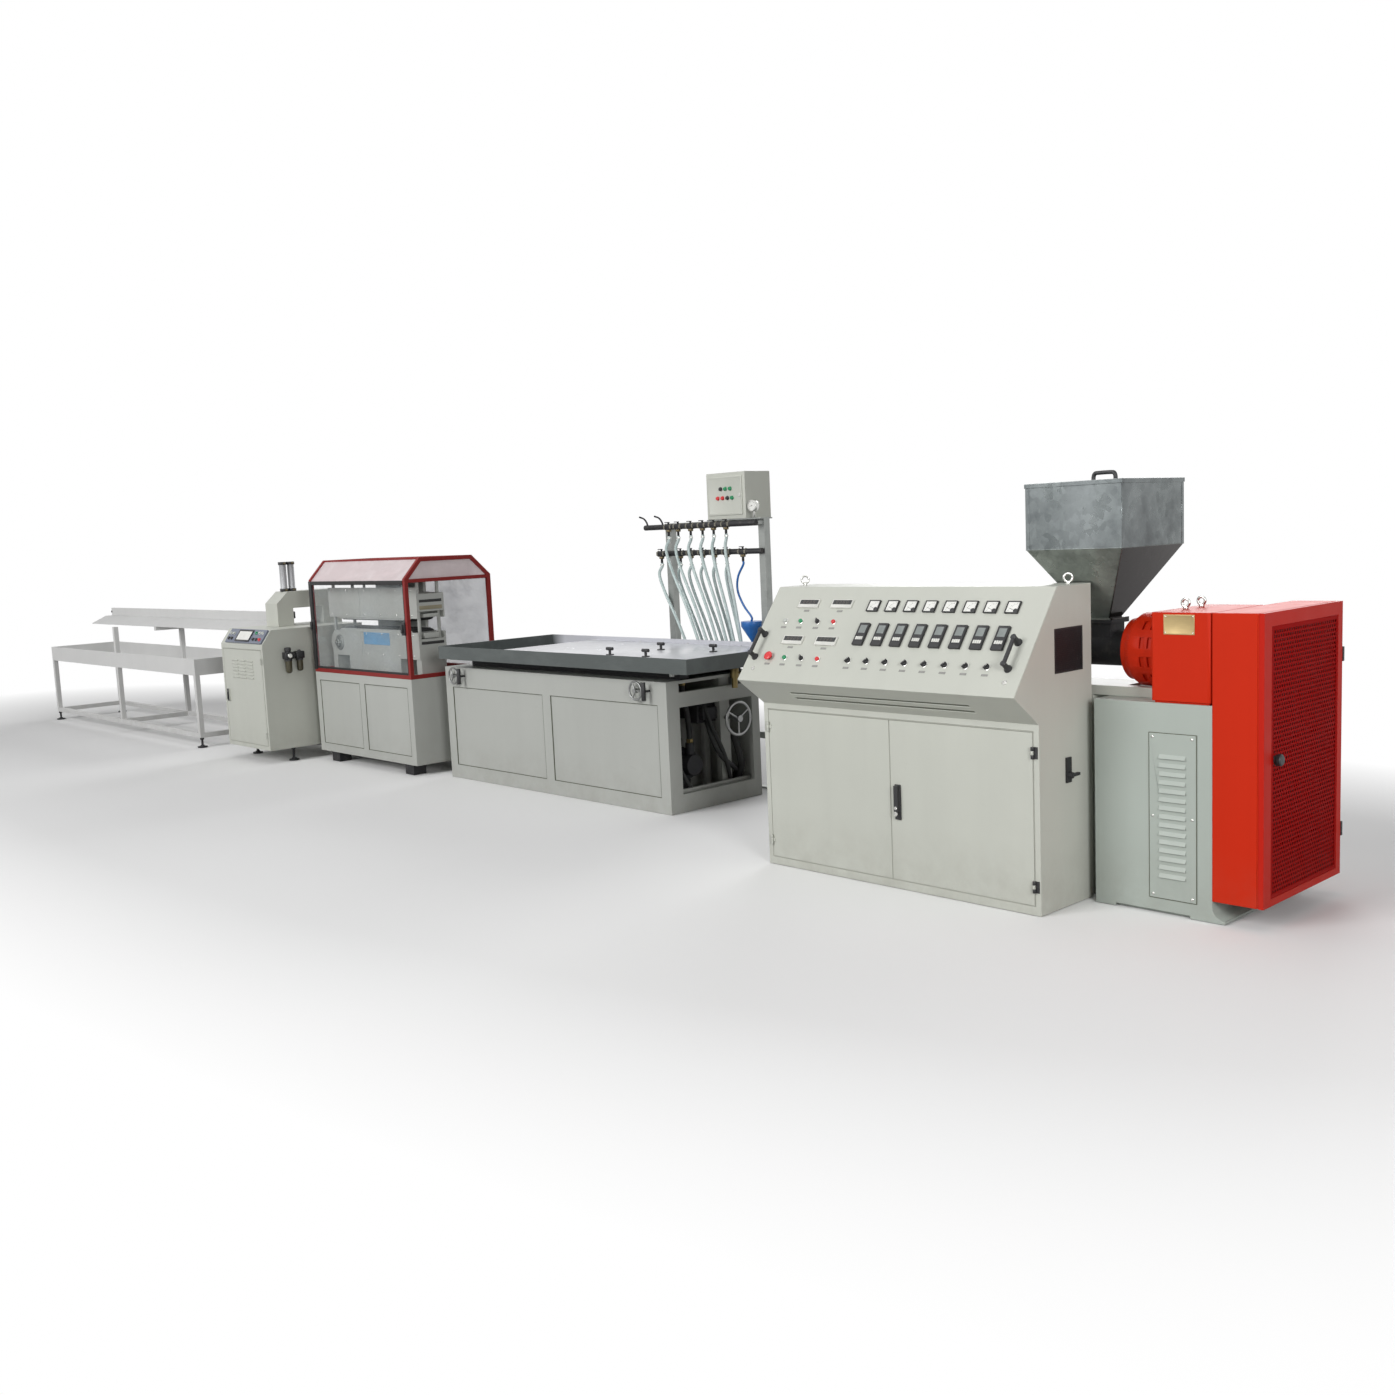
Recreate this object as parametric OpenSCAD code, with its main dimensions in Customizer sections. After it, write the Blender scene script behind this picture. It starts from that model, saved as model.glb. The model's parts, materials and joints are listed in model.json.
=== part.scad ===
// Profile extrusion line: extruder, control console, calibrating table with hose rack,
// haul-off, cutter and stacker in one row on one floor.
// X runs along the line (the profile leaves towards -X), Y is depth and Z is up.
// The floor is Z = 0. The screw axis lies at Y = 0, above the origin under the extruder base.

/* [Line] */
// Height of the profile axis above the floor
line_h = 1030; // [950:1:1100]
// Front face of the extruder base, in front of the profile axis
front_y = 226; // [200:1:300]

/* [Extruder] */
// Length of the extruder base along the line
base_len = 500; // [420:1:700]
// Depth of the extruder base and of the belt guard
base_dep = 700; // [560:1:900]
// Height of the extruder base
base_h = 845; // [780:1:870]
// Thickness of the foot bars under the base
foot_t = 12; // [8:1:20]
// Reach of the flared foot past the base
foot_flare = 52; // [30:1:80]
// Length of the gearbox along the line
gear_len = 244; // [200:1:248]
// Height of the gearbox
gear_h = 353; // [330:1:420]
// Radius of the gearbox nose
nose_r = 156; // [120:1:170]
// Length of the gearbox nose
nose_len = 188; // [120:1:220]
// Thickness of the belt guard along the line
guard_len = 200; // [160:1:260]
// Height of the open underside of the belt guard above the floor
guard_low = 85; // [60:1:120]
// Wall of the belt guard
guard_wall = 12; // [6:1:20]
// Radius of the black feed section
feed_r = 73; // [60:1:85]
// Distance of the hopper centre from the origin
hopper_at = 325; // [290:1:360]
// Width of the hopper along the line
hopper_w = 436; // [360:1:500]
// Depth of the hopper across the line
hopper_d = 496; // [420:1:500]
// Height of the hopper's lower end
hopper_low = 1150; // [1130:1:1200]
// Height at which the hopper's straight box begins
hopper_mid = 1450; // [1380:1:1500]
// Height of the hopper's rim
hopper_top = 1716; // [1600:1:1800]
// Width of the hopper's outlet
outlet_w = 84; // [70:1:90]
// Sheet thickness of the hopper
hopper_wall = 5; // [3:1:8]
// Radius of the barrel
barrel_r = 60; // [50:1:70]
// Distance of the die's face from the origin
die_at = 2140; // [1900:10:2170]

/* [Console] */
// Width of the control console
console_w = 1500; // [1300:10:1700]
// Gap between the console and the extruder base
console_gap = 50; // [20:1:120]
// Front of the console doors, in front of the profile axis
console_front = 550; // [520:1:600]
// Depth of the console's lower cabinet
console_dep = 392; // [360:1:394]
// Height of the console's door bay
console_bay = 775; // [720:1:800]
// Height of the desk's front lip
lip_h = 900; // [860:1:950]
// Reach of the desk's lip past the doors
lip_out = 169; // [120:1:220]
// Height of the console
console_h = 1310; // [1200:1:1400]
// Depth of the console's flat top
console_top = 251; // [200:1:300]
// Wall of the console's cabinet
console_wall = 20; // [12:1:30]
// Thickness of the instrument panel
panel_t = 5; // [3:1:8]
// Thickness of every cabinet door
door_t = 20; // [14:1:26]
// Gap round every cabinet door
door_gap = 6; // [5:1:10]

/* [Table] */
// Distance of the table's near end from the origin
table_at = 3012; // [2900:1:3200]
// Length of the calibrating table
table_len = 2248; // [1800:1:2600]
// Front of the table, in front of the profile axis
table_front = 86; // [60:1:120]
// Depth of the table
table_dep = 736; // [600:1:800]
// Height of the table
table_h = 758; // [700:1:800]
// Wall of the table's cabinet
table_wall = 30; // [20:1:40]
// Width of the table's frame stiles
stile_w = 80; // [60:1:100]
// Distance of the tray's near end from the origin
tray_at = 2710; // [2650:1:2800]
// Length of the water tray
tray_len = 2440; // [2000:1:2600]
// Front of the water tray, in front of the profile axis
tray_front = 200; // [150:1:250]
// Depth of the water tray
tray_dep = 955; // [800:1:1000]
// Height of the tray's rim
tray_h = 910; // [880:1:940]
// Height of the tray's side walls
tray_side = 85; // [60:1:110]
// Sheet thickness of the water tray
tray_wall = 6; // [3:1:10]
// Length of the tray's raised deck
deck_len = 1960; // [1500:1:2200]
// Diameter of the two small handwheels
small_wheel_d = 116; // [90:1:140]
// Diameter of the end handwheel
big_wheel_d = 210; // [160:1:240]

/* [Hose rack] */
// Distance of the rack's near post from the origin
rack_at = 3124; // [3050:1:3200]
// Distance between the two rack posts
rack_span = 842; // [700:1:1000]
// Depth of the post row behind the profile axis
rack_y = 870; // [840:1:950]
// Width of the square rack posts
post_w = 50; // [40:1:60]
// Height of the rack posts
rack_h = 1650; // [1500:1:1800]
// Diameter of the manifold pipes
pipe_d = 34; // [28:1:40]
// Width of the rack's control box
box_w = 336; // [280:1:400]
// Height of the rack's control box
box_h = 283; // [240:1:320]
// Depth of the rack's control box
box_d = 220; // [160:1:260]
// Diameter of the water hoses
hose_d = 20; // [16:1:24]

/* [Haul-off] */
// Gap between the table and the haul-off
haul_gap = 209; // [120:1:400]
// Length of the haul-off
haul_len = 1362; // [1200:1:1500]
// Front of the haul-off, in front of the profile axis
haul_front = 230; // [200:1:280]
// Depth of the haul-off
haul_dep = 704; // [620:1:800]
// Height of the block feet
block_h = 71; // [50:1:100]
// Height of the haul-off's base
haul_h = 671; // [600:1:720]
// Rise of the hood's roof above its shoulders
hood_rise = 141; // [110:1:170]
// Room between the lift cylinders and the hood's top
hood_clear = 25; // [20:1:60]
// Length of the lift cylinders
lift_len = 121; // [115:1:180]
// Depth of the hood's flat top
hood_top = 425; // [350:1:480]
// Width of the hood's square tubes
tube_w = 28; // [20:1:36]
// Open height between the two caterpillar tracks
track_gap = 70; // [50:1:100]
// Height of each caterpillar track
track_h = 190; // [150:1:200]
// Stroke of the upper track
track_stroke = 60; // [30:1:80]

/* [Cutter] */
// Gap between the haul-off and the cutter
cutter_gap = 109; // [60:1:300]
// Length of the cutter along the line
cutter_len = 705; // [600:1:800]
// Front of the cutter, in front of the profile axis
cutter_front = 590; // [560:1:640]
// Depth of the cutter
cutter_dep = 840; // [780:1:950]
// Height of the cutter's underside
cutter_low = 100; // [80:1:140]
// Height of the cutter's deck
cutter_h = 1005; // [980:1:1010]
// Height of the cutter's front face below the sloped panel
cutter_face = 895; // [850:1:920]
// Wall of the cutter's cabinet
cutter_wall = 25; // [16:1:35]

/* [Stacker] */
// Gap between the cutter and the stacker's frame
stack_gap = 690; // [400:1:900]
// Length of the stacker
stack_len = 3446; // [3000:1:3800]
// Front of the stacker, in front of the profile axis
stack_front = 530; // [480:1:560]
// Depth of the stacker
stack_dep = 650; // [620:1:700]
// Height of the receiving tray's rim
stack_h = 735; // [650:1:780]
// Height of the receiving tray's sides
stack_side = 136; // [100:1:150]
// Width of the stacker's square tubes
leg_w = 40; // [30:1:50]
// Height of the stacker's bottom rails above the floor
rail_low = 80; // [50:1:100]

/* [Hidden] */
$fn = 48;

// Running clearance round shafts and rods
shaft_gap = 0.3;
// Clearance between parts that move past each other
move_gap = 6;

// Extruder places
base_x = base_len / 2;
guard_x0 = base_x;
guard_x1 = guard_x0 + guard_len;
guard_top = base_h + gear_h;
rear_y = base_dep - front_y;
gear_x0 = base_x - 6 - gear_len;
nose_x0 = gear_x0 - nose_len;
feed_x0 = -hopper_at - 135;
neck_w = 110;
guard_door_t = 20;
guard_rim = 62;

// Console places
console_x1 = -base_x - console_gap;
console_x0 = console_x1 - console_w;
console_back = console_dep - console_front;
slope_y0 = -console_front - lip_out;
slope_y1 = console_back - console_top;
slope_len = norm([slope_y1 - slope_y0, console_h - lip_h]);
slope_deg = atan2(console_h - lip_h, slope_y1 - slope_y0);
bay_x0 = console_x0 + 25;
bay_x1 = console_x1 - 25;
bay_z0 = 35;
bay_z1 = console_bay - 27;
bay_mid = (bay_x0 + bay_x1) / 2;

// Table and rack places
table_x1 = -table_at;
table_x0 = table_x1 - table_len;
table_back = table_dep - table_front;
tray_x1 = -tray_at;
tray_x0 = tray_x1 - tray_len;
tray_back = tray_dep - tray_front;
tray_low = tray_h - tray_side;
deck_z = tray_h - 28;
small_wheel_z = table_h - 54;
small_wheel_in = [146, 226];
big_wheel_y = 450;
big_wheel_z = 490;
wheel_shaft_r = 10;
rack_x1 = -rack_at;
rack_x0 = rack_x1 - rack_span;
upper_z = rack_h - 22;
lower_z = rack_h - 193;
lower_y = rack_y - post_w / 2 - pipe_d / 2 - shaft_gap;
upper_y = lower_y - 44;
nozzle_l = 60;

// Haul-off places
haul_x1 = table_x0 - haul_gap;
haul_x0 = haul_x1 - haul_len;
haul_back = haul_dep - haul_front;
hood_y0 = -haul_front + (haul_dep - hood_top) / 2 - 10;
hood_y1 = hood_y0 + hood_top;
track_x0 = haul_x0 + 130;
track_x1 = haul_x1 - 130;
track_half = 100;
plate_t = 10;
rail_y = track_half + plate_t + 20;
column_x = [track_x0 - 38, track_x1 + 38];
column_y = 80;
column_r = 12;
head_half = 32;
rod_r = 10;
low_track_z = [line_h - track_gap / 2 - track_h, line_h - track_gap / 2];
up_track_z = [line_h + track_gap / 2, line_h + track_gap / 2 + track_h];
bridge_z = up_track_z[1] + 14 + track_stroke + move_gap;
bridge_t = 20;
rod_top = bridge_z + bridge_t + 10;
lift_top = bridge_z + bridge_t + lift_len;
hood_h = lift_top + hood_clear;
shoulder_h = hood_h - hood_rise;

// Cutter places
cutter_x1 = haul_x0 - cutter_gap;
cutter_x0 = cutter_x1 - cutter_len;
cutter_back = cutter_dep - cutter_front;
desk_run = 80;
head_x1 = cutter_x1 - 310;
head_len = 200;
head_y0 = -293;
pass_w = 250;
head_cyl_in = 148;
head_cyl_half = 33;
head_z1 = 1272;
cut_door_z0 = cutter_low + 30;
cut_door_z1 = cutter_face - 35;
cutter_hinge_x = cutter_x1 - cutter_wall - 3;
cutter_hinge_z = [cut_door_z0 + 60, cut_door_z1 - 110];

// Stacker places
stack_x1 = cutter_x0 - stack_gap;
stack_x0 = stack_x1 - stack_len;
stack_mid = (stack_x0 + stack_x1) / 2;
stack_back = stack_dep - stack_front;
stack_low = stack_h - stack_side;
sheet_t = 8;
arm_z = 940;
stake_z = 968;
trough_y0 = -150;
trough_z0 = arm_z;
trough_y1 = -10;
trough_z1 = line_h - 18;
trough_x0 = stack_x0 + 116;
trough_x1 = cutter_x0 - 90;

// Basic shapes

// Box between two X, two Y and two Z values
module span(x, y, z) {
    translate([x[0], y[0], z[0]])
        cube([x[1] - x[0], y[1] - y[0], z[1] - z[0]]);
}

// Flat outline with round corners, centred
module round_rect(w, h, r) {
    square([w - 2 * r, h], center = true);
    square([w, h - 2 * r], center = true);
    for (sx = [-1, 1], sy = [-1, 1])
        translate([sx * (w / 2 - r), sy * (h / 2 - r)])
            circle(r);
}

// Prism of a Y-Z outline between two X values
module along_x(x0, x1) {
    translate([x0, 0, 0])
        rotate([90, 0, 90])
            linear_extrude(x1 - x0)
                children();
}

// Prism of an X-Z outline between two Y values
module along_y(y0, y1) {
    translate([0, y1, 0])
        rotate([90, 0, 0])
            linear_extrude(y1 - y0)
                children();
}

// Cylinder along X, from one X value to another
module rod_x(r, x0, x1, y, z) {
    translate([x0, y, z])
        rotate([0, 90, 0])
            cylinder(r = r, h = x1 - x0);
}

// Cylinder along Y, from one Y value to another
module rod_y(r, y0, y1, x, z) {
    translate([x, y1, z])
        rotate([90, 0, 0])
            cylinder(r = r, h = y1 - y0);
}

// Upright cylinder between two heights
module rod_z(r, z0, z1, x, y) {
    translate([x, y, z0])
        cylinder(r = r, h = z1 - z0);
}

// Rectangular funnel shape, lower size to upper size
module taper_box(w0, d0, w1, d1, h) {
    intersection() {
        along_y(-d1, d1)
            polygon([[-w0 / 2, 0], [w0 / 2, 0], [w1 / 2, h], [-w1 / 2, h]]);
        along_x(-w1, w1)
            polygon([[-d0 / 2, 0], [d0 / 2, 0], [d1 / 2, h], [-d1 / 2, h]]);
    }
}

// Bow handle lying in its own X-Z plane, grip at height h
module bow(l, h, r) {
    for (s = [-1, 1])
        translate([s * (l / 2 - r), 0, 0])
            cylinder(r = r, h = h);
    translate([-l / 2, 0, h])
        rotate([0, 90, 0])
            cylinder(r = r, h = l);
}

// Lifting eye standing on its collar
module eye(ring_r, wire_r) {
    cylinder(r = wire_r * 1.9, h = wire_r * 1.6);
    translate([0, 0, ring_r + wire_r * 2])
        rotate([90, 0, 0])
            rotate_extrude()
                translate([ring_r, 0])
                    circle(wire_r);
}

// Handwheel about the Z axis: round rim, three spokes, hub and shaft
module wheel(d, rim_r, shaft_l) {
    rotate_extrude()
        translate([d / 2 - rim_r, 0])
            circle(rim_r);
    for (a = [0, 120, 240])
        rotate([0, 90, a])
            cylinder(r = rim_r * 0.7, h = d / 2 - rim_r);
    translate([0, 0, -rim_r * 2])
        cylinder(r = rim_r * 2.2, h = rim_r * 4);
    translate([0, 0, -shaft_l])
        cylinder(r = wheel_shaft_r, h = shaft_l);
}

// Clamp knob: a stem with a cross bar on top
module t_knob(stem_h, bar_l) {
    cylinder(r = 24, h = 8);
    cylinder(r = 8, h = stem_h);
    translate([-bar_l / 2, 0, stem_h])
        rotate([0, 90, 0])
            cylinder(r = 10, h = bar_l);
}

// Levelling foot: pad, screw and lock nut up to a height
module screw_foot(h, pad_r, screw_r) {
    cylinder(r = pad_r, h = 10);
    translate([0, 0, 10])
        cylinder(r1 = pad_r * 0.55, r2 = screw_r * 1.6, h = 10);
    cylinder(r = screw_r, h = h);
    translate([0, 0, h - 12])
        cylinder(r = screw_r * 1.8, h = 12, $fn = 6);
}

// Square tube between two points along one axis, as a solid bar
module bar(a, b, w) {
    span([min(a[0], b[0]) - w / 2, max(a[0], b[0]) + w / 2],
        [min(a[1], b[1]) - w / 2, max(a[1], b[1]) + w / 2],
        [min(a[2], b[2]) - w / 2, max(a[2], b[2]) + w / 2]);
}

// Places things on the sloped instrument panel: X, then distance up the slope from the lip
module on_panel(x, v) {
    translate([x, slope_y0, lip_h])
        rotate([slope_deg, 0, 0])
            translate([0, v, 0])
                children();
}

// Tube swept along a list of points, with n sides
function unit(v) = v / norm(v);
function sweep_dir(p, i) = unit(p[min(i + 1, len(p) - 1)] - p[max(i - 1, 0)]);
function sweep_side(d) = unit(cross(d, abs(d[1]) > 0.9 ? [1, 0, 0] : [0, 1, 0]));
function ring(c, d, r, n) = [for (k = [0 : n - 1])
    let (u = sweep_side(d), v = cross(d, u), a = 360 * k / n)
    c + r * (cos(a) * u + sin(a) * v)];
module sweep(p, r, n) {
    m = len(p);
    pts = [for (i = [0 : m - 1]) each ring(p[i], sweep_dir(p, i), r, n)];
    sides = [for (i = [0 : m - 2], k = [0 : n - 1])
        [i * n + k, i * n + (k + 1) % n, (i + 1) * n + (k + 1) % n, (i + 1) * n + k]];
    ends = [[for (k = [0 : n - 1]) n - 1 - k], [for (k = [0 : n - 1]) (m - 1) * n + k]];
    polyhedron(points = pts, faces = concat(ends, sides), convexity = 4);
}

// Hinge about its own Z axis, with both leaves on the plane Y = hinge_out and the door towards -X
hinge_h = 48;
hinge_r = 6;
hinge_out = 7;
hinge_pin = 3;
hinge_third = hinge_h / 3;
module hinge_frame() {
    cylinder(r = hinge_pin, h = hinge_h);
    for (z = [0, 2 * hinge_third + 0.5])
        translate([0, 0, z]) {
            cylinder(r = hinge_r, h = hinge_third - 0.5);
            cube([hinge_r + 4, hinge_out, hinge_third - 0.5]);
        }
    translate([hinge_r + 1, hinge_out - 3, 0])
        cube([15, 3, hinge_h]);
}
module hinge_door() {
    difference() {
        translate([0, 0, hinge_third]) {
            cylinder(r = hinge_r, h = hinge_third);
            translate([-18, hinge_out - 3, 0])
                cube([18, 3, hinge_third]);
        }
        cylinder(r = hinge_pin + shaft_gap, h = hinge_h);
    }
}

// Extruder

module extruder_base() color([0.66, 0.70, 0.69]) {
    span([-base_x, base_x], [-front_y, rear_y], [foot_t, base_h]);
    along_y(-front_y, rear_y)
        difference() {
            polygon([[base_x - 90, 0], [base_x + foot_flare, 0], [base_x + foot_flare, foot_t],
                [base_x, foot_t + foot_flare], [base_x - 90, foot_t + foot_flare]]);
            translate([base_x + foot_flare, foot_t + foot_flare])
                circle(foot_flare);
        }
    span([-base_x, 90 - base_x], [-front_y, rear_y], [0, foot_t]);
    span([90 - base_x, base_x - 90], [20 - front_y, rear_y - 20], [0, foot_t]);
}

louvre_x = [-7, 187];
louvre_z = [65, 725];
louvre_n = 15;
module louvre_panel() color([0.70, 0.73, 0.72]) {
    mid = (louvre_x[0] + louvre_x[1]) / 2;
    pitch = 34;
    low = (louvre_z[0] + louvre_z[1] - pitch * (louvre_n - 1)) / 2;
    span(louvre_x, [-front_y - 4, -front_y], louvre_z);
    for (i = [0 : louvre_n - 1])
        translate([0, 0, low + i * pitch])
            along_x(mid - 56, mid + 56)
                polygon([[-front_y - 4, -7], [-front_y - 4, 10], [-front_y - 13, -7]]);
}

module gearbox() color([0.78, 0.21, 0.12]) {
    mid = gear_x0 + gear_len / 2;
    translate([mid, 0, base_h])
        linear_extrude(8)
            round_rect(gear_len - 16, 2 * front_y - 16, 10);
    translate([mid, 0, base_h + 8])
        linear_extrude(gear_h - 8)
            round_rect(gear_len, 2 * front_y, 12);
}

module gearbox_nose() color([0.80, 0.22, 0.12]) {
    difference() {
        translate([gear_x0, 0, line_h])
            rotate([0, -90, 0])
                rotate_extrude($fn = 96)
                    polygon([[0, 0], [nose_r, 0], [nose_r, 22], [nose_r - 6, 26],
                        [nose_r - 6, nose_len - 50], [nose_r - 30, nose_len - 14],
                        [nose_r - 30, nose_len], [0, nose_len]]);
        for (a = [0 : 30 : 330], d = [0, 34])
            translate([gear_x0 - 52 - d, 0, line_h])
                rotate([a + 15, 0, 0])
                    translate([0, 0, nose_r - 6])
                        cube([18, 44, 16], center = true);
    }
}

console_eye_x = 35;
module lifting_eyes() color([0.72, 0.72, 0.68]) {
    for (y = [-60, 70])
        translate([gear_x0 + 60, y, guard_top])
            eye(15, 5.5);
    for (x = [console_x0 + console_eye_x, console_x1 - console_eye_x])
        translate([x, console_back - 110, console_h])
            rotate([0, 0, 40])
                eye(17, 5);
}

module belt_guard() color([0.80, 0.20, 0.11]) {
    inner_y = [guard_wall - front_y, rear_y - guard_wall];
    difference() {
        span([guard_x0, guard_x1 - guard_door_t - move_gap], [-front_y, rear_y], [guard_low, guard_top]);
        span([guard_x0 + guard_wall, guard_x1], inner_y, [guard_low - 1, guard_top - guard_wall]);
    }
}

// Door of the belt guard: a frame round a sheet with rows of slots
guard_y0 = -front_y;
guard_hinge_x = guard_x1 - guard_door_t - move_gap / 2;
guard_hinge_z = [270, 985];
module guard_door() color([0.52, 0.09, 0.08]) {
    x0 = guard_x1 - guard_door_t;
    hole_w = 60;
    difference() {
        span([x0, guard_x1], [guard_y0, rear_y], [guard_low, guard_top]);
        span([x0 + 9, guard_x1 + 1], [guard_y0 + guard_rim, rear_y - guard_rim + 20],
            [guard_low + 28, guard_top - 52]);
        for (i = [0 : 11])
            span([x0 - 1, guard_x1], [-100 + (i % 3) * 150, -100 + (i % 3) * 150 + hole_w],
                [300 + floor(i / 3) * 200, 312 + floor(i / 3) * 200]);
    }
    knob_at = guard_y0 + guard_rim + 44;
    knob_mid = (guard_low + guard_top) / 2;
    rod_x(26, x0 + 8, x0 + 14, knob_at, knob_mid);
    rod_x(18, x0 + 13, guard_x1 + 22, knob_at, knob_mid);
    for (z = guard_hinge_z)
        translate([guard_hinge_x, rear_y + hinge_out, z])
            rotate([0, 0, 180])
                hinge_door();
}

// Belt drive: motor pulley low, gearbox pulley high, one belt loop round both
pulley_x = [guard_x0 + 60, guard_x0 + 140];
pulley_low = [180, 420];
pulley_r = [75, 140];
module belt_drive() color([0.22, 0.22, 0.23]) {
    top_r = pulley_r[1];
    low_r = pulley_r[0];
    dy = pulley_low[0];
    dz = pulley_low[1] - line_h;
    l = norm([dy, dz]);
    tilt = acos((top_r - low_r) / l);
    base_a = atan2(dz, dy);
    tangent = [for (s = [-1, 1]) base_a + s * tilt];
    rod_x(top_r - 12, pulley_x[0], pulley_x[1], 0, line_h);
    rod_x(low_r - 12, pulley_x[0], pulley_x[1], dy, pulley_low[1]);
    rod_x(28, guard_x0 + guard_wall, pulley_x[0], 0, line_h);
    rod_x(24, guard_x0 + guard_wall, pulley_x[0], dy, pulley_low[1]);
    along_x(pulley_x[0] + 10, pulley_x[1] - 10)
        difference() {
            union() {
                translate([0, line_h]) circle(top_r);
                translate([dy, pulley_low[1]]) circle(low_r);
                polygon([for (p = [[0, tangent[0]], [1, tangent[0]], [1, tangent[1]], [0, tangent[1]]])
                    [p[0] * dy, line_h + p[0] * dz]
                    + (p[0] == 0 ? top_r : low_r) * [cos(p[1]), sin(p[1])]]);
            }
            translate([0, line_h]) circle(top_r - 12);
            translate([dy, pulley_low[1]]) circle(low_r - 12);
            polygon([for (p = [[0, tangent[0]], [1, tangent[0]], [1, tangent[1]], [0, tangent[1]]])
                [p[0] * dy, line_h + p[0] * dz]
                + ((p[0] == 0 ? top_r : low_r) - 12) * [cos(p[1]), sin(p[1])]]);
        }
}

module feed_throat() color([0.12, 0.12, 0.13]) {
    rod_x(feed_r, feed_x0, nose_x0, 0, line_h);
    rod_x(feed_r + 26, nose_x0 - 16, nose_x0, 0, line_h);
    translate([-hopper_at, 0, 0]) {
        span([-neck_w / 2, neck_w / 2], [-neck_w / 2, neck_w / 2], [line_h, hopper_low - 14]);
        span([-neck_w / 2 - 14, neck_w / 2 + 14], [-neck_w / 2 - 14, neck_w / 2 + 14],
            [hopper_low - 14, hopper_low]);
    }
}

module hopper() color([0.62, 0.65, 0.66]) {
    t = 2 * hopper_wall;
    translate([-hopper_at, 0, 0])
        difference() {
            union() {
                translate([0, 0, hopper_low])
                    taper_box(outlet_w, outlet_w, hopper_w, hopper_d, hopper_mid - hopper_low);
                span([-hopper_w / 2, hopper_w / 2], [-hopper_d / 2, hopper_d / 2],
                    [hopper_mid, hopper_top]);
                span([-neck_w / 2 - 14, neck_w / 2 + 14], [-neck_w / 2 - 14, neck_w / 2 + 14],
                    [hopper_low, hopper_low + 8]);
            }
            translate([0, 0, hopper_low])
                taper_box(outlet_w - t, outlet_w - t, hopper_w - t, hopper_d - t, hopper_mid - hopper_low);
            span([t - hopper_w, hopper_w - t] / 2, [t - hopper_d, hopper_d - t] / 2,
                [hopper_mid - 0.01, hopper_top + 1]);
            span([t - outlet_w, outlet_w - t] / 2, [t - outlet_w, outlet_w - t] / 2,
                [hopper_low - 1, hopper_low + 0.01]);
        }
}

module hopper_lid() color([0.66, 0.69, 0.70]) {
    lip = 4;
    translate([-hopper_at, 0, 0])
        difference() {
            span([-hopper_w / 2 - lip, hopper_w / 2 + lip], [-hopper_d / 2 - lip, hopper_d / 2 + lip],
                [hopper_top - 14, hopper_top + 4]);
            span([-hopper_w / 2 - 0.3, hopper_w / 2 + 0.3], [-hopper_d / 2 - 0.3, hopper_d / 2 + 0.3],
                [hopper_top - 15, hopper_top]);
        }
}

barrel_x0 = -die_at + 230;
module barrel() color([0.30, 0.31, 0.32]) {
    rod_x(barrel_r, barrel_x0, feed_x0, 0, line_h);
    rod_x(barrel_r + 45, feed_x0 - 30, feed_x0, 0, line_h);
    rod_x(barrel_r + 45, barrel_x0, barrel_x0 + 40, 0, line_h);
}

band_n = 4;
module heater_bands() color([0.62, 0.62, 0.60]) {
    first = barrel_x0 + 90;
    last = feed_x0 - 80;
    pitch = (last - first) / band_n;
    for (i = [0 : band_n - 1])
        difference() {
            union() {
                rod_x(barrel_r + 22, first + i * pitch, first + (i + 1) * pitch - 60, 0, line_h);
                span([first + i * pitch + 60, first + i * pitch + 130], [-20, 20],
                    [line_h + barrel_r, line_h + barrel_r + 60]);
            }
            rod_x(barrel_r, first + i * pitch - 1, first + (i + 1) * pitch, 0, line_h);
        }
}

stand_half = 110;
bed_h = 40;
module barrel_stand() color([0.70, 0.72, 0.69]) {
    bed_top = base_h + bed_h;
    legs = [barrel_x0 + 150, -base_x - 330];
    difference() {
        span([barrel_x0 + 60, gear_x0], [-stand_half, stand_half], [base_h, bed_top]);
        rod_x(nose_r + 3, nose_x0 - 4, gear_x0 + 1, 0, line_h);
    }
    for (x = legs) {
        span([x, x + 260], [-stand_half, stand_half], [0, base_h]);
        span([x - 30, x + 290], [-stand_half - 10, stand_half + 10], [0, 15]);
    }
    difference() {
        for (x = [barrel_x0 + 50, feed_x0 - 66])
            span([x, x + 24], [-70, 70], [bed_top, line_h - 20]);
        rod_x(barrel_r, barrel_x0, feed_x0, 0, line_h);
    }
}

module die_head() color([0.55, 0.56, 0.57]) {
    difference() {
        union() {
            rod_x(barrel_r + 45, barrel_x0 - 40, barrel_x0, 0, line_h);
            rod_x(barrel_r + 25, -die_at + 60, barrel_x0 - 40, 0, line_h);
            span([-die_at, -die_at + 60], [-115, 115], [line_h - 85, line_h + 85]);
        }
        span([-die_at - 1, -die_at + 40], [-60, 60], [line_h - 4, line_h + 4]);
        for (s = [-1, 1])
            span([-die_at - 1, -die_at + 40], [s * 58 - 4, s * 58 + 4], [line_h - 4, line_h + 26]);
    }
}

// Control console

module console_side(inset) {
    a = inset;
    k = a * tan(slope_deg / 2);
    polygon([[a - console_front, a], [console_back - a, a], [console_back - a, console_h - a],
        [slope_y1 + k, console_h - a], [slope_y0 + a * 1.6, lip_h + a * 0.1],
        [a - console_front, console_bay + a * 0.5]]);
}

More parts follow.
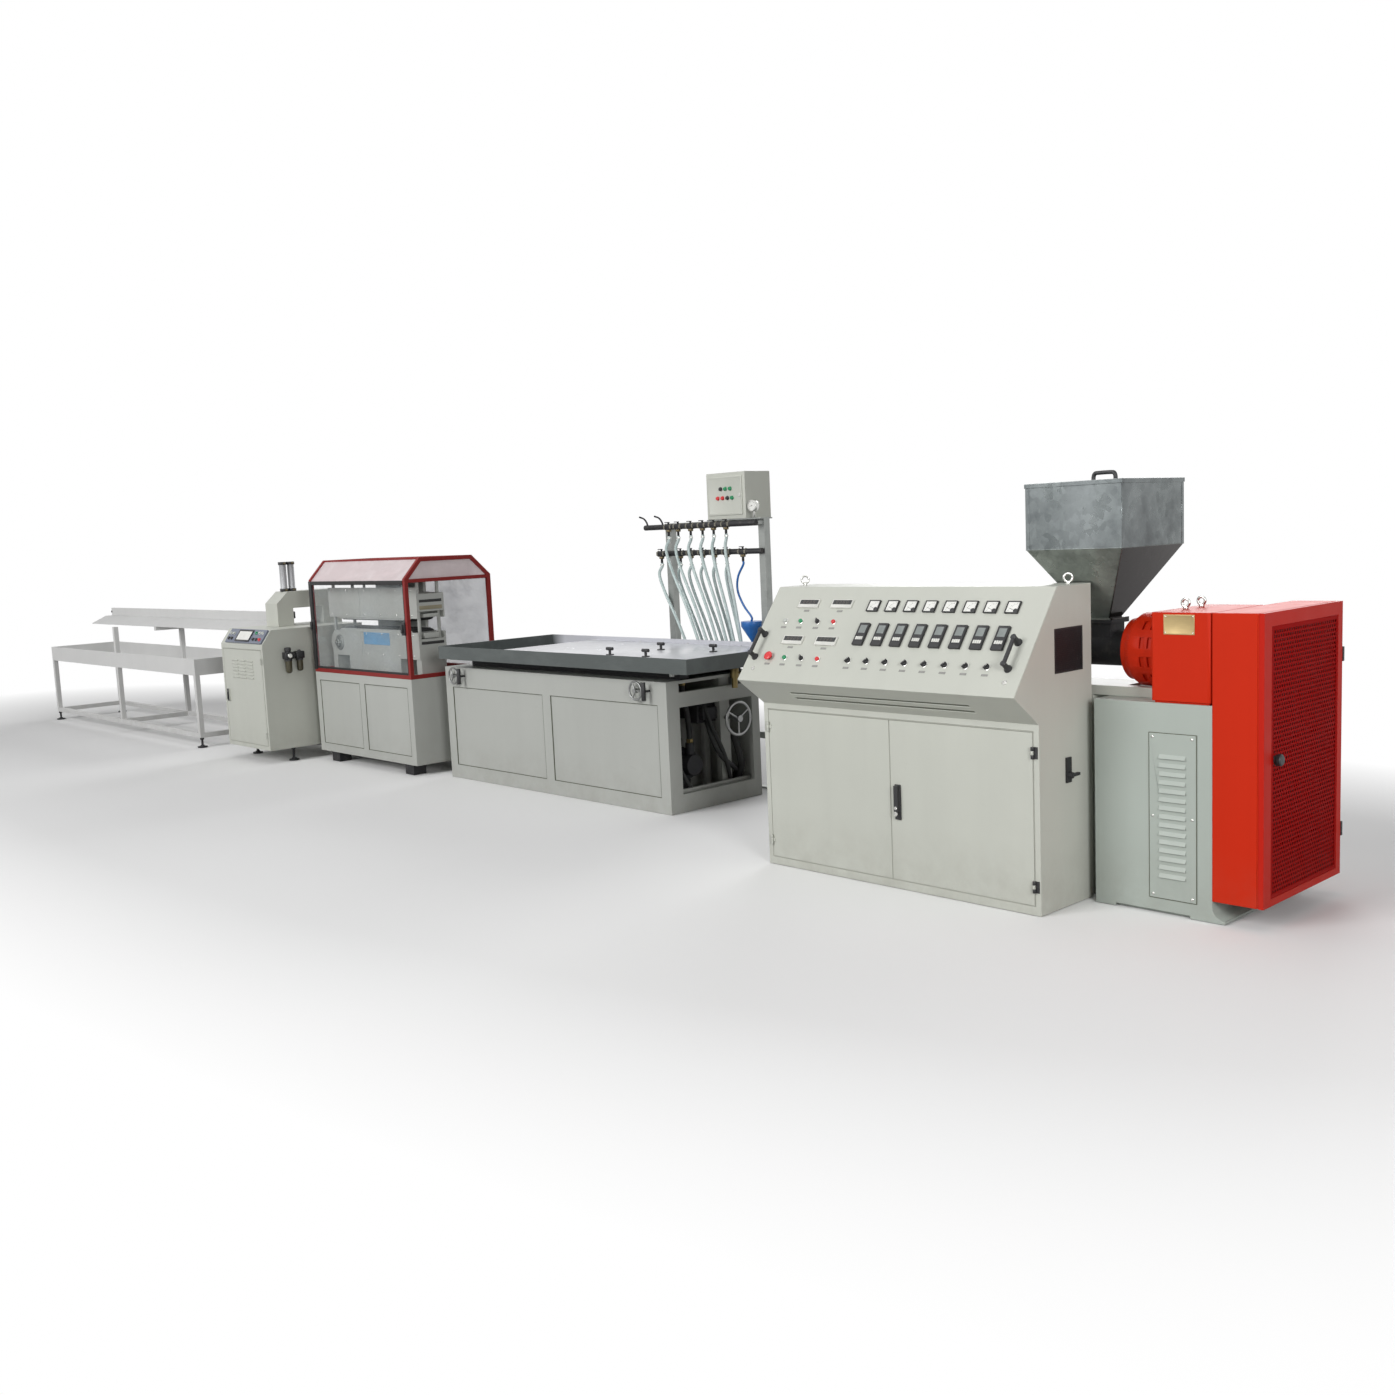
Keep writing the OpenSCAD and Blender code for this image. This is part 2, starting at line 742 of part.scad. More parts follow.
vent_y = [-430, -223];
vent_z = [963, 1142];
module console_cabinet() color([0.77, 0.77, 0.73]) {
    difference() {
        along_x(console_x0, console_x1)
            console_side(0);
        along_x(console_x0 + console_wall, console_x1 - console_wall)
            console_side(console_wall);
        span([bay_x0, bay_x1], [-console_front - 1, console_wall + 1 - console_front], [bay_z0, bay_z1]);
        on_panel(console_x0 - 1, -40)
            translate([0, 0, -panel_t])
                cube([console_w + 2, slope_len + 80, 60]);
        for (v = [0.32, 0.55])
            translate([console_x0 + 0.173 * console_w, -console_front, console_bay])
                rotate([atan2(lip_h - console_bay, -lip_out), 0, 0])
                    translate([0, v * norm([lip_out, lip_h - console_bay]) - 9, -4])
                        cube([0.653 * console_w, 18, 8]);
        span([console_x1 - 6, console_x1 + 1], vent_y, vent_z);
    }
}

// A sheet door with a folded rim on its back
module sheet_door(x, y, z) {
    rim = 30;
    difference() {
        span(x, [y, y + door_t], z);
        span([x[0] + rim, x[1] - rim], [y + 4, y + door_t + 1], [z[0] + rim, z[1] - rim]);
    }
}

door_z = [bay_z0 + door_gap, bay_z1 - door_gap];
console_hinge_z = [bay_z0 + 60, bay_z1 - 110];
module console_door_left() color([0.78, 0.79, 0.75]) {
    sheet_door([bay_x0 + door_gap, bay_mid - door_gap / 2], -console_front, door_z);
    for (z = console_hinge_z)
        translate([bay_x0 + 3, -console_front - hinge_out, z])
            mirror([1, 0, 0])
                hinge_door();
}

module console_door_right() color([0.78, 0.79, 0.75]) {
    sheet_door([bay_mid + door_gap / 2, bay_x1 - door_gap], -console_front, door_z);
    for (z = console_hinge_z)
        translate([bay_x1 - 3, -console_front - hinge_out, z])
            hinge_door();
}

module door_handle() color([0.10, 0.10, 0.11]) {
    x = bay_mid + 42;
    z = [309, 464];
    span([x - 15, x + 15], [-console_front - 8, -console_front], z);
    span([x - 11, x + 11], [-console_front - 22, -console_front - 8], [z[0] + 36, z[1] - 4]);
}

// Frame halves of the hinges of the console doors, the guard door and the cutter door
module door_hinges() color([0.10, 0.10, 0.11]) {
    for (z = console_hinge_z) {
        translate([bay_x1 - 3, -console_front - hinge_out, z])
            hinge_frame();
        translate([bay_x0 + 3, -console_front - hinge_out, z])
            mirror([1, 0, 0])
                hinge_frame();
    }
    for (z = guard_hinge_z)
        translate([guard_hinge_x, rear_y + hinge_out, z])
            rotate([0, 0, 180])
                hinge_frame();
    for (z = cutter_hinge_z)
        translate([cutter_hinge_x, -cutter_front - hinge_out, z])
            hinge_frame();
}

module instrument_panel() color([0.79, 0.79, 0.74]) {
    on_panel(console_x0, 0)
        translate([0, 0, -panel_t])
            cube([console_w, slope_len, panel_t]);
}

// Rows and columns of the instrument panel, as shares of its height and width
meter_row = 0.798 * slope_len;
control_row = 0.512 * slope_len;
button_row = 0.630 * slope_len;
switch_row = 0.250 * slope_len;
display_rows = [0.432 * slope_len, 0.815 * slope_len];
lock_row = 0.128 * slope_len;
handle_row = 0.366 * slope_len;
meter_pitch = 0.0683 * console_w;
meter_x0 = console_x1 - 0.584 * console_w;
display_x = [console_x1 - 0.841 * console_w, console_x1 - 0.708 * console_w];
button_x = [for (f = [0.906, 0.843, 0.775, 0.711]) console_x1 - f * console_w];
handle_x = [console_x1 - 0.968 * console_w, console_x1 - 0.049 * console_w];
lock_x = [console_x1 - 0.955 * console_w, console_x1 - 0.044 * console_w];
meter_n = 8;
module panel_meters() color([0.88, 0.88, 0.86]) {
    for (i = [0 : meter_n - 1])
        on_panel(meter_x0 + i * meter_pitch, meter_row)
            translate([-32, -30, 0])
                cube([64, 60, 7]);
    for (x = display_x, v = display_rows)
        on_panel(x, v)
            translate([-60, -22, 0])
                cube([120, 44, 8]);
}

module temperature_controllers() color([0.10, 0.10, 0.11]) {
    for (i = [0 : meter_n - 1])
        on_panel(meter_x0 + i * meter_pitch, control_row)
            translate([-27, -56, 0])
                cube([54, 112, 9]);
}

module panel_switches() color([0.25, 0.25, 0.26]) {
    for (x = button_x)
        on_panel(x, button_row) {
            cylinder(r = 13, h = 4);
            cylinder(r = 10, h = 11);
        }
    for (i = [0 : 3])
        on_panel(button_x[i], switch_row) {
            cylinder(r = 14, h = 4);
            cylinder(r = i == 0 ? 9 : 11, h = 14);
            if (i == 0)
                translate([0, 0, 12])
                    cylinder(r = 21, h = 10);
        }
    for (i = [0 : meter_n - 1])
        on_panel(meter_x0 + i * meter_pitch - 12, switch_row) {
            cylinder(r = 13, h = 4);
            cylinder(r = 10, h = 12);
            translate([-3.5, -13, 4])
                cube([7, 26, 16]);
        }
    for (x = lock_x)
        on_panel(x, lock_row)
            cylinder(r = 9, h = 4);
}

module bow_handles() color([0.09, 0.09, 0.10]) {
    for (x = handle_x)
        on_panel(x, handle_row)
            rotate([0, 0, 90])
                bow(138, 40, 8);
    translate([-hopper_at, 0, hopper_top + 4])
        bow(110, 34, 7);
}

module main_switch() color([0.10, 0.10, 0.11]) {
    y = -345;
    span([console_x1, console_x1 + 8], [y - 18, y + 18], [514, 617]);
    rod_x(13, console_x1 + 8, console_x1 + 24, y, 545);
    span([console_x1 + 14, console_x1 + 26], [y - 8, y + 52], [539, 551]);
}

// Calibrating table

module table_cabinet() color([0.75, 0.76, 0.72]) {
    w = table_wall;
    panel_w = (table_len - 3 * stile_w) / 2;
    difference() {
        span([table_x0, table_x1], [-table_front, table_back], [0, table_h]);
        span([table_x0 + w, table_x1 - w], [w - table_front, table_back - w], [20, table_h - 18]);
        for (i = [0, 1])
            span([table_x0 + stile_w + i * (panel_w + stile_w),
                    table_x0 + stile_w + i * (panel_w + stile_w) + panel_w],
                [-table_front - 1, 6 - table_front], [90, table_h - 133]);
        span([table_x1 - w - 1, table_x1 + 1], [95 - table_front, table_back - 60], [105, 605]);
        span([table_x1 - w - 1, table_x1 + 1], [95 - table_front, table_back - 60], [690, table_h - 18]);
        for (x = [table_x0 + small_wheel_in[0], table_x1 - small_wheel_in[1]])
            rod_y(wheel_shaft_r + shaft_gap, -table_front - 1, w + 1 - table_front, x, small_wheel_z);
    }
    difference() {
        span([table_x1 - 130, table_x1 - 90], [big_wheel_y - 40, big_wheel_y + 40], [20, table_h - 18]);
        rod_x(wheel_shaft_r + shaft_gap, table_x1 - 131, table_x1 - 89, big_wheel_y, big_wheel_z);
    }
}

module water_tray() color([0.66, 0.68, 0.68]) {
    t = tray_wall;
    difference() {
        span([tray_x0, tray_x1], [-tray_front, tray_back], [tray_low, tray_h]);
        span([tray_x0 + t, tray_x1 - t], [t - tray_front, tray_back - t], [tray_low + t, tray_h + 1]);
    }
    difference() {
        span([tray_x1 - deck_len, tray_x1 - t], [t - tray_front, tray_back - t], [tray_low + t, deck_z]);
        span([tray_x1 - deck_len + t, tray_x1 - 2 * t], [2 * t - tray_front, tray_back - 2 * t],
            [tray_low + 2 * t, deck_z - t]);
    }
}

slide_y = [40, 460];
module tray_slides() color([0.14, 0.15, 0.15]) {
    for (y = slide_y)
        span([max(table_x0, tray_x0) + 30, table_x1 - 20], [y, y + 70], [table_h, tray_low]);
}

knob_x = [for (d = [0.367, 0.234, 0.341, 0.161]) tray_x1 - d * tray_len];
knob_y = [9, 9, 360, 380];
lever_out = 46;
module clamp_knobs() color([0.07, 0.07, 0.08]) {
    for (i = [0 : 3])
        translate([knob_x[i], knob_y[i], deck_z])
            t_knob(40, 52);
    for (x = [table_x0 + small_wheel_in[0] + 84, table_x1 - small_wheel_in[1] + 84]) {
        rod_y(7, -table_front - lever_out, -table_front, x, small_wheel_z);
        rod_z(13, small_wheel_z - 52, small_wheel_z + 52, x, -table_front - lever_out);
    }
}

small_wheel_out = 34;
module small_wheel(x) {
    translate([x, -table_front - small_wheel_out, small_wheel_z])
        rotate([90, 0, 0])
            wheel(small_wheel_d, 6, small_wheel_out + table_wall + 4);
}
module handwheel_left() color([0.75, 0.75, 0.74])
    small_wheel(table_x0 + small_wheel_in[0]);
module handwheel_right() color([0.75, 0.75, 0.74])
    small_wheel(table_x1 - small_wheel_in[1]);

module end_handwheel() color([0.60, 0.61, 0.61])
    translate([table_x1 + 24, big_wheel_y, big_wheel_z])
        rotate([0, 90, 0])
            wheel(big_wheel_d, 9, 158);

module pump_unit() color([0.13, 0.14, 0.15]) {
    x = table_x1 - 420;
    y = 230;
    span([x - 10, x + 210], [y - 90, y + 90], [20, 44]);
    span([x + 20, x + 180], [y - 60, y + 60], [44, 180]);
    rod_x(86, x, x + 190, y, 230);
    rod_x(62, x + 190, x + 290, y, 230);
    rod_x(95, x + 190, x + 215, y, 230);
    rod_z(26, 290, 360, x + 250, y);
}

drain_y = 424;
module drain_pipe() color([0.60, 0.50, 0.28]) {
    x = table_x1 + 32;
    rod_z(20, tray_low - 36, tray_low, x, drain_y);
    rod_z(26, tray_low - 92, tray_low - 36, x, drain_y);
    rod_z(18, tray_low - 150, tray_low - 92, x, drain_y);
    rod_y(9, drain_y, drain_y + 46, x, tray_low - 64);
    span([x - 8, x + 60], [drain_y + 46, drain_y + 52], [tray_low - 72, tray_low - 56]);
}

// Pipe under the end of the tray, from its front to the drain
module cross_pipe() color([0.66, 0.67, 0.66]) {
    x = table_x1 + 32;
    front = 20 - table_front;
    rod_y(11, front, drain_y - 20 - shaft_gap, x, tray_low - 18);
    rod_z(14, tray_low - 34, tray_low, x, front);
}

// Hose rack

upper_hose_x = [for (d = [768, 678, 561, 452, 352, 242]) rack_x1 - d];
lower_hose_x = [for (d = [896, 714, 614, 506, 397, 288]) rack_x1 - d];
blue_hose_x = rack_x1 - 148;

module rack_frame() color([0.62, 0.63, 0.63]) {
    for (x = [rack_x0, rack_x1]) {
        span([x - post_w / 2, x + post_w / 2], [rack_y - post_w / 2, rack_y + post_w / 2], [0, rack_h]);
        span([x - 70, x + 70], [rack_y - 70, rack_y + 70], [0, 10]);
    }
    span([rack_x0 + post_w / 2, rack_x1 - post_w / 2], [rack_y - 15, rack_y + 15], [300, 340]);
    span([rack_x1 - box_w - 100, rack_x1 - 80], [rack_y - 60, rack_y + box_d - 60], [rack_h, rack_h + 8]);
    span([rack_x1 - 81, rack_x1 + post_w / 2], [rack_y - 60, rack_y + post_w / 2], [rack_h, rack_h + 8]);
    span([rack_x0 + post_w / 2, rack_x1 - post_w / 2], [rack_y - 15, rack_y + 15], [rack_h - 40, rack_h]);
    for (x = [rack_x0, rack_x1])
        difference() {
            span([x - 18, x + 18], [upper_y, rack_y - post_w / 2], [upper_z - 10, upper_z + 10]);
            rod_x(pipe_d / 2 + shaft_gap, x - 19, x + 19, upper_y, upper_z);
        }
}

// Valve with its nozzle and lever on a manifold
module valve(x, y, z) {
    rod_z(15, z - 34, z, x, y);
    rod_z(8, z - nozzle_l, z - 34, x, y);
    rod_z(6, z, z + 30, x, y);
    translate([x - 6, y - 28, z + 26])
        cube([12, 34, 5]);
}
module manifolds() color([0.30, 0.31, 0.30]) {
    rod_x(pipe_d / 2, rack_x0 - 0.18 * rack_span, rack_x1 + 20, upper_y, upper_z);
    rod_x(pipe_d / 2, rack_x0 - 0.09 * rack_span, rack_x1 + 20, lower_y, lower_z);
    for (x = upper_hose_x)
        valve(x, upper_y, upper_z);
    for (x = concat(lower_hose_x, [blue_hose_x]))
        valve(x, lower_y, lower_z);
}

module rack_box() color([0.76, 0.77, 0.73]) {
    span([rack_x1 - box_w - 90, rack_x1 - 90], [rack_y - 60, rack_y - 60 + box_d],
        [rack_h + 8, rack_h + 8 + box_h]);
}

module pressure_gauge() color([0.80, 0.80, 0.78]) {
    x = rack_x1 - 30;
    z = rack_h + 80;
    rod_y(34, rack_y - 66, rack_y - 40, x, z);
    rod_z(7, rack_h + 8, z - 20, x, rack_y - 53);
}

// Hanging shape of a hose below its nozzle: X shift and depth below the nozzle, in millimetres
hose_shape = [[0, 0], [0, 25], [-32, 90], [20, 230], [150, 480], [290, 800]];
upper_lean = [1, 0.95, 0.85, 0.75, 0.6, 0.4];
lower_lean = [0.95, 0.85, 0.8, 0.75, 0.6, 0.45];
lower_share = 0.85;
upper_end = upper_z - nozzle_l - shaft_gap;
lower_end = lower_z - nozzle_l - shaft_gap;
module hoses() color([0.72, 0.80, 0.78]) {
    for (i = [0 : len(upper_hose_x) - 1])
        sweep([for (p = hose_shape)
            [upper_hose_x[i] + p[0] * upper_lean[i], upper_y, upper_end - p[1]]], hose_d / 2, 8);
    for (i = [0 : len(lower_hose_x) - 1])
        sweep([for (p = hose_shape)
            [lower_hose_x[i] + p[0] * lower_lean[i], lower_y, lower_end - p[1] * lower_share]],
            hose_d / 2, 8);
}

// Route of the blue hose below its nozzle, and the funnel it ends on
blue_path = [[0, 0], [0, 20], [-50, 95], [-58, 180], [-12, 270], [52, 340], [52, 367]];
blue_last = blue_path[len(blue_path) - 1];
funnel_x = blue_hose_x + blue_last[0];
funnel_z = lower_end - blue_last[1] - shaft_gap;
funnel_r = 66;
module funnel_hose() color([0.10, 0.38, 0.62]) {
    sweep([for (p = blue_path) [blue_hose_x + p[0], lower_y, lower_end - p[1]]], 7, 8);
}
module funnel() color([0.06, 0.33, 0.62]) {
    rod_z(funnel_r, funnel_z - 30, funnel_z, funnel_x, lower_y);
    translate([funnel_x, lower_y, funnel_z - 122])
        cylinder(r1 = 9, r2 = funnel_r, h = 92);
    rod_z(9, funnel_z - 152, funnel_z - 122, funnel_x, lower_y);
}

// Haul-off

module haul_off_base() color([0.74, 0.75, 0.71]) {
    panel_w = (haul_len - 190) / 2;
    difference() {
        span([haul_x0, haul_x1], [-haul_front, haul_back], [block_h, haul_h]);
        for (i = [0, 1])
            span([haul_x0 + 60 + i * (panel_w + 70), haul_x0 + 60 + i * (panel_w + 70) + panel_w],
                [-haul_front - 1, 5 - haul_front], [block_h + 60, haul_h - 60]);
    }
}

roof_deg = atan2(hood_rise, hood_y0 + haul_front);
module hood_outline(inset) {
    a = inset;
    wall_k = a * tan((90 - roof_deg) / 2);
    top_k = a * tan(roof_deg / 2);
    polygon([[a - haul_front, haul_h - 1], [a - haul_front, shoulder_h - wall_k],
        [hood_y0 + top_k, hood_h - a], [hood_y1 - top_k, hood_h - a],
        [haul_back - a, shoulder_h - wall_k], [haul_back - a, haul_h - 1]]);
}
module hood_frame() color([0.62, 0.18, 0.16]) {
    t = tube_w;
    for (x = [haul_x0, haul_x1 - t])
        difference() {
            along_x(x, x + t)
                intersection() {
                    hood_outline(0);
                    translate([-haul_front, haul_h])
                        square([haul_dep, hood_h - haul_h]);
                }
            along_x(x - 1, x + t + 1)
                difference() {
                    hood_outline(t);
                    translate([-haul_front, haul_h - 2])
                        square([haul_dep, t + 2]);
                }
        }
    x0 = haul_x0 + t;
    x1 = haul_x1 - t;
    for (x = [haul_x0, x1])
        span([x, x + t], [t - 1 - haul_front, haul_back - t + 1], [shoulder_h - t, end_pane_z]);
    for (y = [-haul_front, haul_back - t]) {
        span([x0, x1], [y, y + t], [haul_h, haul_h + t]);
        span([x0, x1], [y, y + t], [shoulder_h - t, shoulder_h - 11]);
    }
    for (y = [hood_y0, hood_y1 - t])
        span([x0, x1], [y, y + t], [hood_h - t, hood_h]);
}

pane_t = 6;
end_pane_z = shoulder_h - 4;
module hood_panes() color([0.80, 0.84, 0.86, 0.35]) {
    t = tube_w;
    x0 = haul_x0 + t;
    x1 = haul_x1 - t;
    for (y = [-haul_front + 8, haul_back - 8 - pane_t])
        span([x0, x1], [y, y + pane_t], [haul_h + t, shoulder_h - t]);
    span([x0, x1], [hood_y0 + t, hood_y1 - t], [hood_h - 16, hood_h - 10]);
    for (s = [0, 1])
        along_x(x0, x1) {
            lower = s == 0 ? [-haul_front + 4, shoulder_h - 11] : [haul_back - 4, shoulder_h - 11];
            upper = s == 0 ? [hood_y0, hood_h - 12] : [hood_y1, hood_h - 12];
            inward = s == 0 ? pane_t * 1.4 : -pane_t * 1.4;
            polygon([lower, upper, upper - [0, pane_t * 1.4], lower + [inward, 0]]);
        }
    for (x = [haul_x0, x1])
        along_x(x + (t - pane_t) / 2, x + (t + pane_t) / 2)
            intersection() {
                hood_outline(t);
                translate([-haul_front, end_pane_z])
                    square([haul_dep, hood_rise]);
            }
}

// Caterpillar track: belt loop round two drums, side plates and grip pads
module track(z0, z1) {
    r = (z1 - z0) / 2;
    zc = (z0 + z1) / 2;
    belt = 14;
    difference() {
        along_y(-track_half, track_half) {
            translate([track_x0 + r, zc]) circle(r);
            translate([track_x1 - r, zc]) circle(r);
            translate([track_x0 + r, z0]) square([track_x1 - track_x0 - 2 * r, z1 - z0]);
        }
        along_y(-track_half - 1, track_half + 1) {
            translate([track_x0 + r, zc]) circle(r - belt);
            translate([track_x1 - r, zc]) circle(r - belt);
            translate([track_x0 + r, z0 + belt]) square([track_x1 - track_x0 - 2 * r, z1 - z0 - 2 * belt]);
        }
    }
    for (x = [track_x0 + r, track_x1 - r])
        rod_y(r - belt, -track_half + 8, track_half - 8, x, zc);
    span([track_x0 + r, track_x1 - r], [-track_half + 12, track_half - 12], [z0 + belt, z1 - belt]);
}

cylinder_x = [track_x0 + 280, track_x1 - 280];
// Side plate of a track, bedded 1 mm into its belt: a long plate with a joint in it and one round end
module side_plate(front, z0, z1, round_end) {
    y = front ? -track_half - plate_t : track_half - 1;
    r = (z1 - z0) / 2;
    x0 = column_x[0] - head_half;
    x1 = column_x[1] + head_half;
    joint_x = x0 + (x1 - x0) * 0.37;
    along_y(y, y + plate_t + 1)
        difference() {
            union() {
                if (round_end)
                    translate([x0 + r, (z0 + z1) / 2]) circle(r);
                translate([round_end ? x0 + r : x0, z0])
                    square([x1 - x0 - (round_end ? r : 0), z1 - z0]);
            }
            translate([joint_x, z0 + 10])
                square([4, z1 - z0 - 20]);
        }
}

module lower_track() color([0.70, 0.73, 0.70]) {
    z0 = low_track_z[0];
    z1 = low_track_z[1];
    track(z0, z1);
    side_plate(true, z0 - 12, z1 - 14, true);
    side_plate(false, z0 - 12, z1 - 14, false);
    for (x = column_x)
        span([x - head_half, x + head_half], [-track_half - 1, track_half + 1], [haul_h, z1 - 60]);
    span([track_x0 + track_h, track_x1 - track_h], [-track_half - plate_t, rail_y], [haul_h, z0 - 8]);
}

module upper_track() color([0.70, 0.72, 0.70]) {
    z0 = up_track_z[0];
    z1 = up_track_z[1];
    track(z0, z1);
    side_plate(true, z0 + 14, z1 + 40, false);
    side_plate(false, z0 + 14, z1 - 4, false);
    for (x = column_x)
        difference() {
            span([x - head_half, x + head_half], [-track_half - 1, track_half + 1], [z0 + 62, z1 - 6]);
            for (y = [-column_y, column_y])
                rod_z(column_r + shaft_gap, z0, z1, x, y);
        }
    for (x = cylinder_x) {
        rod_z(24, z1 - 1, z1 + 14, x, 0);
        rod_z(rod_r, z1, rod_top, x, 0);
    }
}

module track_frame() color([0.66, 0.68, 0.66]) {
    x0 = column_x[0] - 40;
    x1 = column_x[1] + 40;
    span([cylinder_x[0] - 60, cylinder_x[1] + 60], [rail_y, rail_y + 24], [haul_h, bridge_z + bridge_t]);
    difference() {
        span([x0, x1], [-60, rail_y], [bridge_z, bridge_z + bridge_t]);
        for (x = cylinder_x)
            rod_z(rod_r + shaft_gap, bridge_z - 1, bridge_z + bridge_t + 1, x, 0);
    }
    for (x = column_x, y = [-column_y, column_y])
        rod_z(column_r, low_track_z[1] - 60, bridge_z, x, y);
}

// Cutter

module cutter_cabinet() color([0.73, 0.74, 0.70]) {
    w = cutter_wall;
    difference() {
        along_x(cutter_x0, cutter_x1)
            polygon([[-cutter_front, cutter_low], [cutter_back, cutter_low], [cutter_back, cutter_h],
                [desk_run - cutter_front, cutter_h], [-cutter_front, cutter_face]]);
        span([cutter_x0 + w, cutter_x1 - w], [w - cutter_front, cutter_back - w],
            [cutter_low + w, cutter_face - 30]);
        span([cutter_x0 + w, cutter_x1 - w], [-cutter_front - 1, w + 1 - cutter_front],
            [cut_door_z0, cut_door_z1]);
    }
}

module cutter_door() color([0.74, 0.75, 0.71]) {
    z = [cut_door_z0 + door_gap, cut_door_z1 - door_gap];
    x = [cutter_x0 + cutter_wall + door_gap, cutter_x1 - cutter_wall - door_gap];
    sheet_door(x, -cutter_front, z);
    span([x[0] + 40, x[0] + 62], [-cutter_front - 12, -cutter_front], [450, 540]);
    for (z = cutter_hinge_z)
        translate([cutter_hinge_x, -cutter_front - hinge_out, z])
            hinge_door();
}

module control_panel() color([0.42, 0.45, 0.52]) {
    run = [desk_run, cutter_h - cutter_face];
    l = norm(run);
    translate([cutter_x0 + 0.12 * cutter_len, -cutter_front, cutter_face])
        rotate([atan2(run[1], run[0]), 0, 0])
            translate([0, 8, shaft_gap])
                cube([0.86 * cutter_len, l - 16, 14]);
}

module cutter_head() color([0.72, 0.73, 0.69]) {
    difference() {
        along_x(head_x1 - head_len, head_x1)
            polygon([[head_y0, cutter_h], [cutter_back, cutter_h], [cutter_back, head_z1],
                [head_y0 + 95, head_z1], [head_y0, head_z1 - 88]]);
        span([head_x1 - head_len - 1, head_x1 + 1], [-0.64 * pass_w, 0.36 * pass_w],
            [line_h - 20, line_h + 112]);
    }
}

// Air cylinders that lift the upper track, and the two on the cutter's head
air_r = 26;
module air_cylinders() color([0.74, 0.75, 0.76]) {
    foot = bridge_z + bridge_t;
    for (x = cylinder_x)
        difference() {
            union() {
                rod_z(air_r + 6, foot, foot + 16, x, 0);
                rod_z(air_r, foot + 16, lift_top - 14, x, 0);
                rod_z(air_r + 6, lift_top - 14, lift_top, x, 0);
            }
            rod_z(rod_r + shaft_gap, foot - 1, rod_top + track_stroke + move_gap, x, 0);
        }
    for (s = [-1, 1])
        translate([head_x1 - 90, head_y0 + head_cyl_in + s * head_cyl_half, head_z1]) {
            cylinder(r = air_r + 4, h = 16);
            cylinder(r = air_r, h = 225);
            translate([0, 0, 212])
                cylinder(r = air_r + 4, h = 16);
        }
}

module air_unit() color([0.16, 0.16, 0.15]) {
    for (i = [0, 1]) {
        y = -405 + i * 90;
        span([cutter_x1, cutter_x1 + 60], [y - 32, y + 32], [780, 830]);
        rod_z(24, 670 + i * 10, 780, cutter_x1 + 36, y);
        rod_z(i == 0 ? 24 : 14, 830, i == 0 ? 868 : 842, cutter_x1 + 36, y);
    }
    rod_y(12, -373, -347, cutter_x1 + 36, 805);
}

// Stacker

rail_top = rail_low + leg_w;
frame_y = [-stack_front + leg_w / 2, stack_back - leg_w / 2];
frame_x = [stack_x0 + leg_w / 2, stack_mid, stack_x1 - leg_w / 2];
module stacker_frame() color([0.74, 0.74, 0.71]) {
    zr = rail_low + leg_w / 2;
    for (y = frame_y)
        bar([frame_x[0], y, zr], [frame_x[2], y, zr], leg_w);
    for (x = frame_x)
        bar([x, frame_y[0], zr], [x, frame_y[1], zr], leg_w);
    for (x = [frame_x[0], frame_x[2]], y = frame_y)
        span([x - leg_w / 2, x + leg_w / 2], [y - leg_w / 2, y + leg_w / 2], [rail_top - 1, stack_low]);
    for (i = [0, 1])
        span([stack_mid - leg_w / 2, stack_mid + leg_w / 2],
            [frame_y[i] - leg_w / 2, frame_y[i] + leg_w / 2], [rail_top - 1, i == 0 ? stake_z : arm_z]);
    span([frame_x[2] - leg_w / 2, frame_x[2] + leg_w / 2], [frame_y[1] - leg_w / 2, frame_y[1] + leg_w / 2],
        [stack_low, arm_z]);
    for (x = [stack_mid, frame_x[2]])
        span([x - leg_w / 2, x + leg_w / 2], [trough_y0, frame_y[1]], [arm_z - 35, arm_z]);
}

module receiving_tray() color([0.76, 0.76, 0.73]) {
    s = sheet_t;
    difference() {
        span([stack_x0, stack_x1], [-stack_front, stack_back], [stack_low, stack_h]);
        span([stack_x0 + s, stack_x1 - s], [s - stack_front, stack_back - s], [stack_low + s, stack_h + 1]);
        for (y = frame_y)
            span([stack_mid - leg_w / 2, stack_mid + leg_w / 2], [y - leg_w / 2, y + leg_w / 2],
                [stack_low - 1, stack_h + 1]);
        span([frame_x[2] - leg_w / 2, frame_x[2] + leg_w / 2],
            [frame_y[1] - leg_w / 2, frame_y[1] + leg_w / 2],
            [stack_low - 1, stack_h + 1]);
    }
}

guide_y = [60, 84];
module profile_trough() color([0.78, 0.78, 0.76]) {
    t = 6;
    along_x(trough_x0, trough_x1)
        polygon([[trough_y0, trough_z0], [trough_y1, trough_z1 - t], [guide_y[0], trough_z1 - t],
            [guide_y[0], line_h + 12], [guide_y[1], line_h + 12], [guide_y[1], line_h + 58],
            [guide_y[0] - t, line_h + 58], [guide_y[0] - t, trough_z1], [trough_y1, trough_z1],
            [trough_y0, trough_z0 + t]]);
}

// Feet of the haul-off, the cutter and the stacker

module machine_feet() color([0.09, 0.09, 0.09]) {
    for (x = [haul_x0 + 200, haul_x1 - 120], y = [60 - haul_front, haul_back - 60])
        span([x - 55, x + 55], [y - 50, y + 50], [0, block_h]);
    for (x = [frame_x[0], frame_x[2]], y = frame_y)
        translate([x, y, 0])
            screw_foot(rail_low, 40, 9);
    for (x = [cutter_x0 + 45, cutter_x1 - 45], y = [-0.65 * cutter_front, cutter_back - 100])
        translate([x, y, 0])
            screw_foot(cutter_low, 38, 10);
}

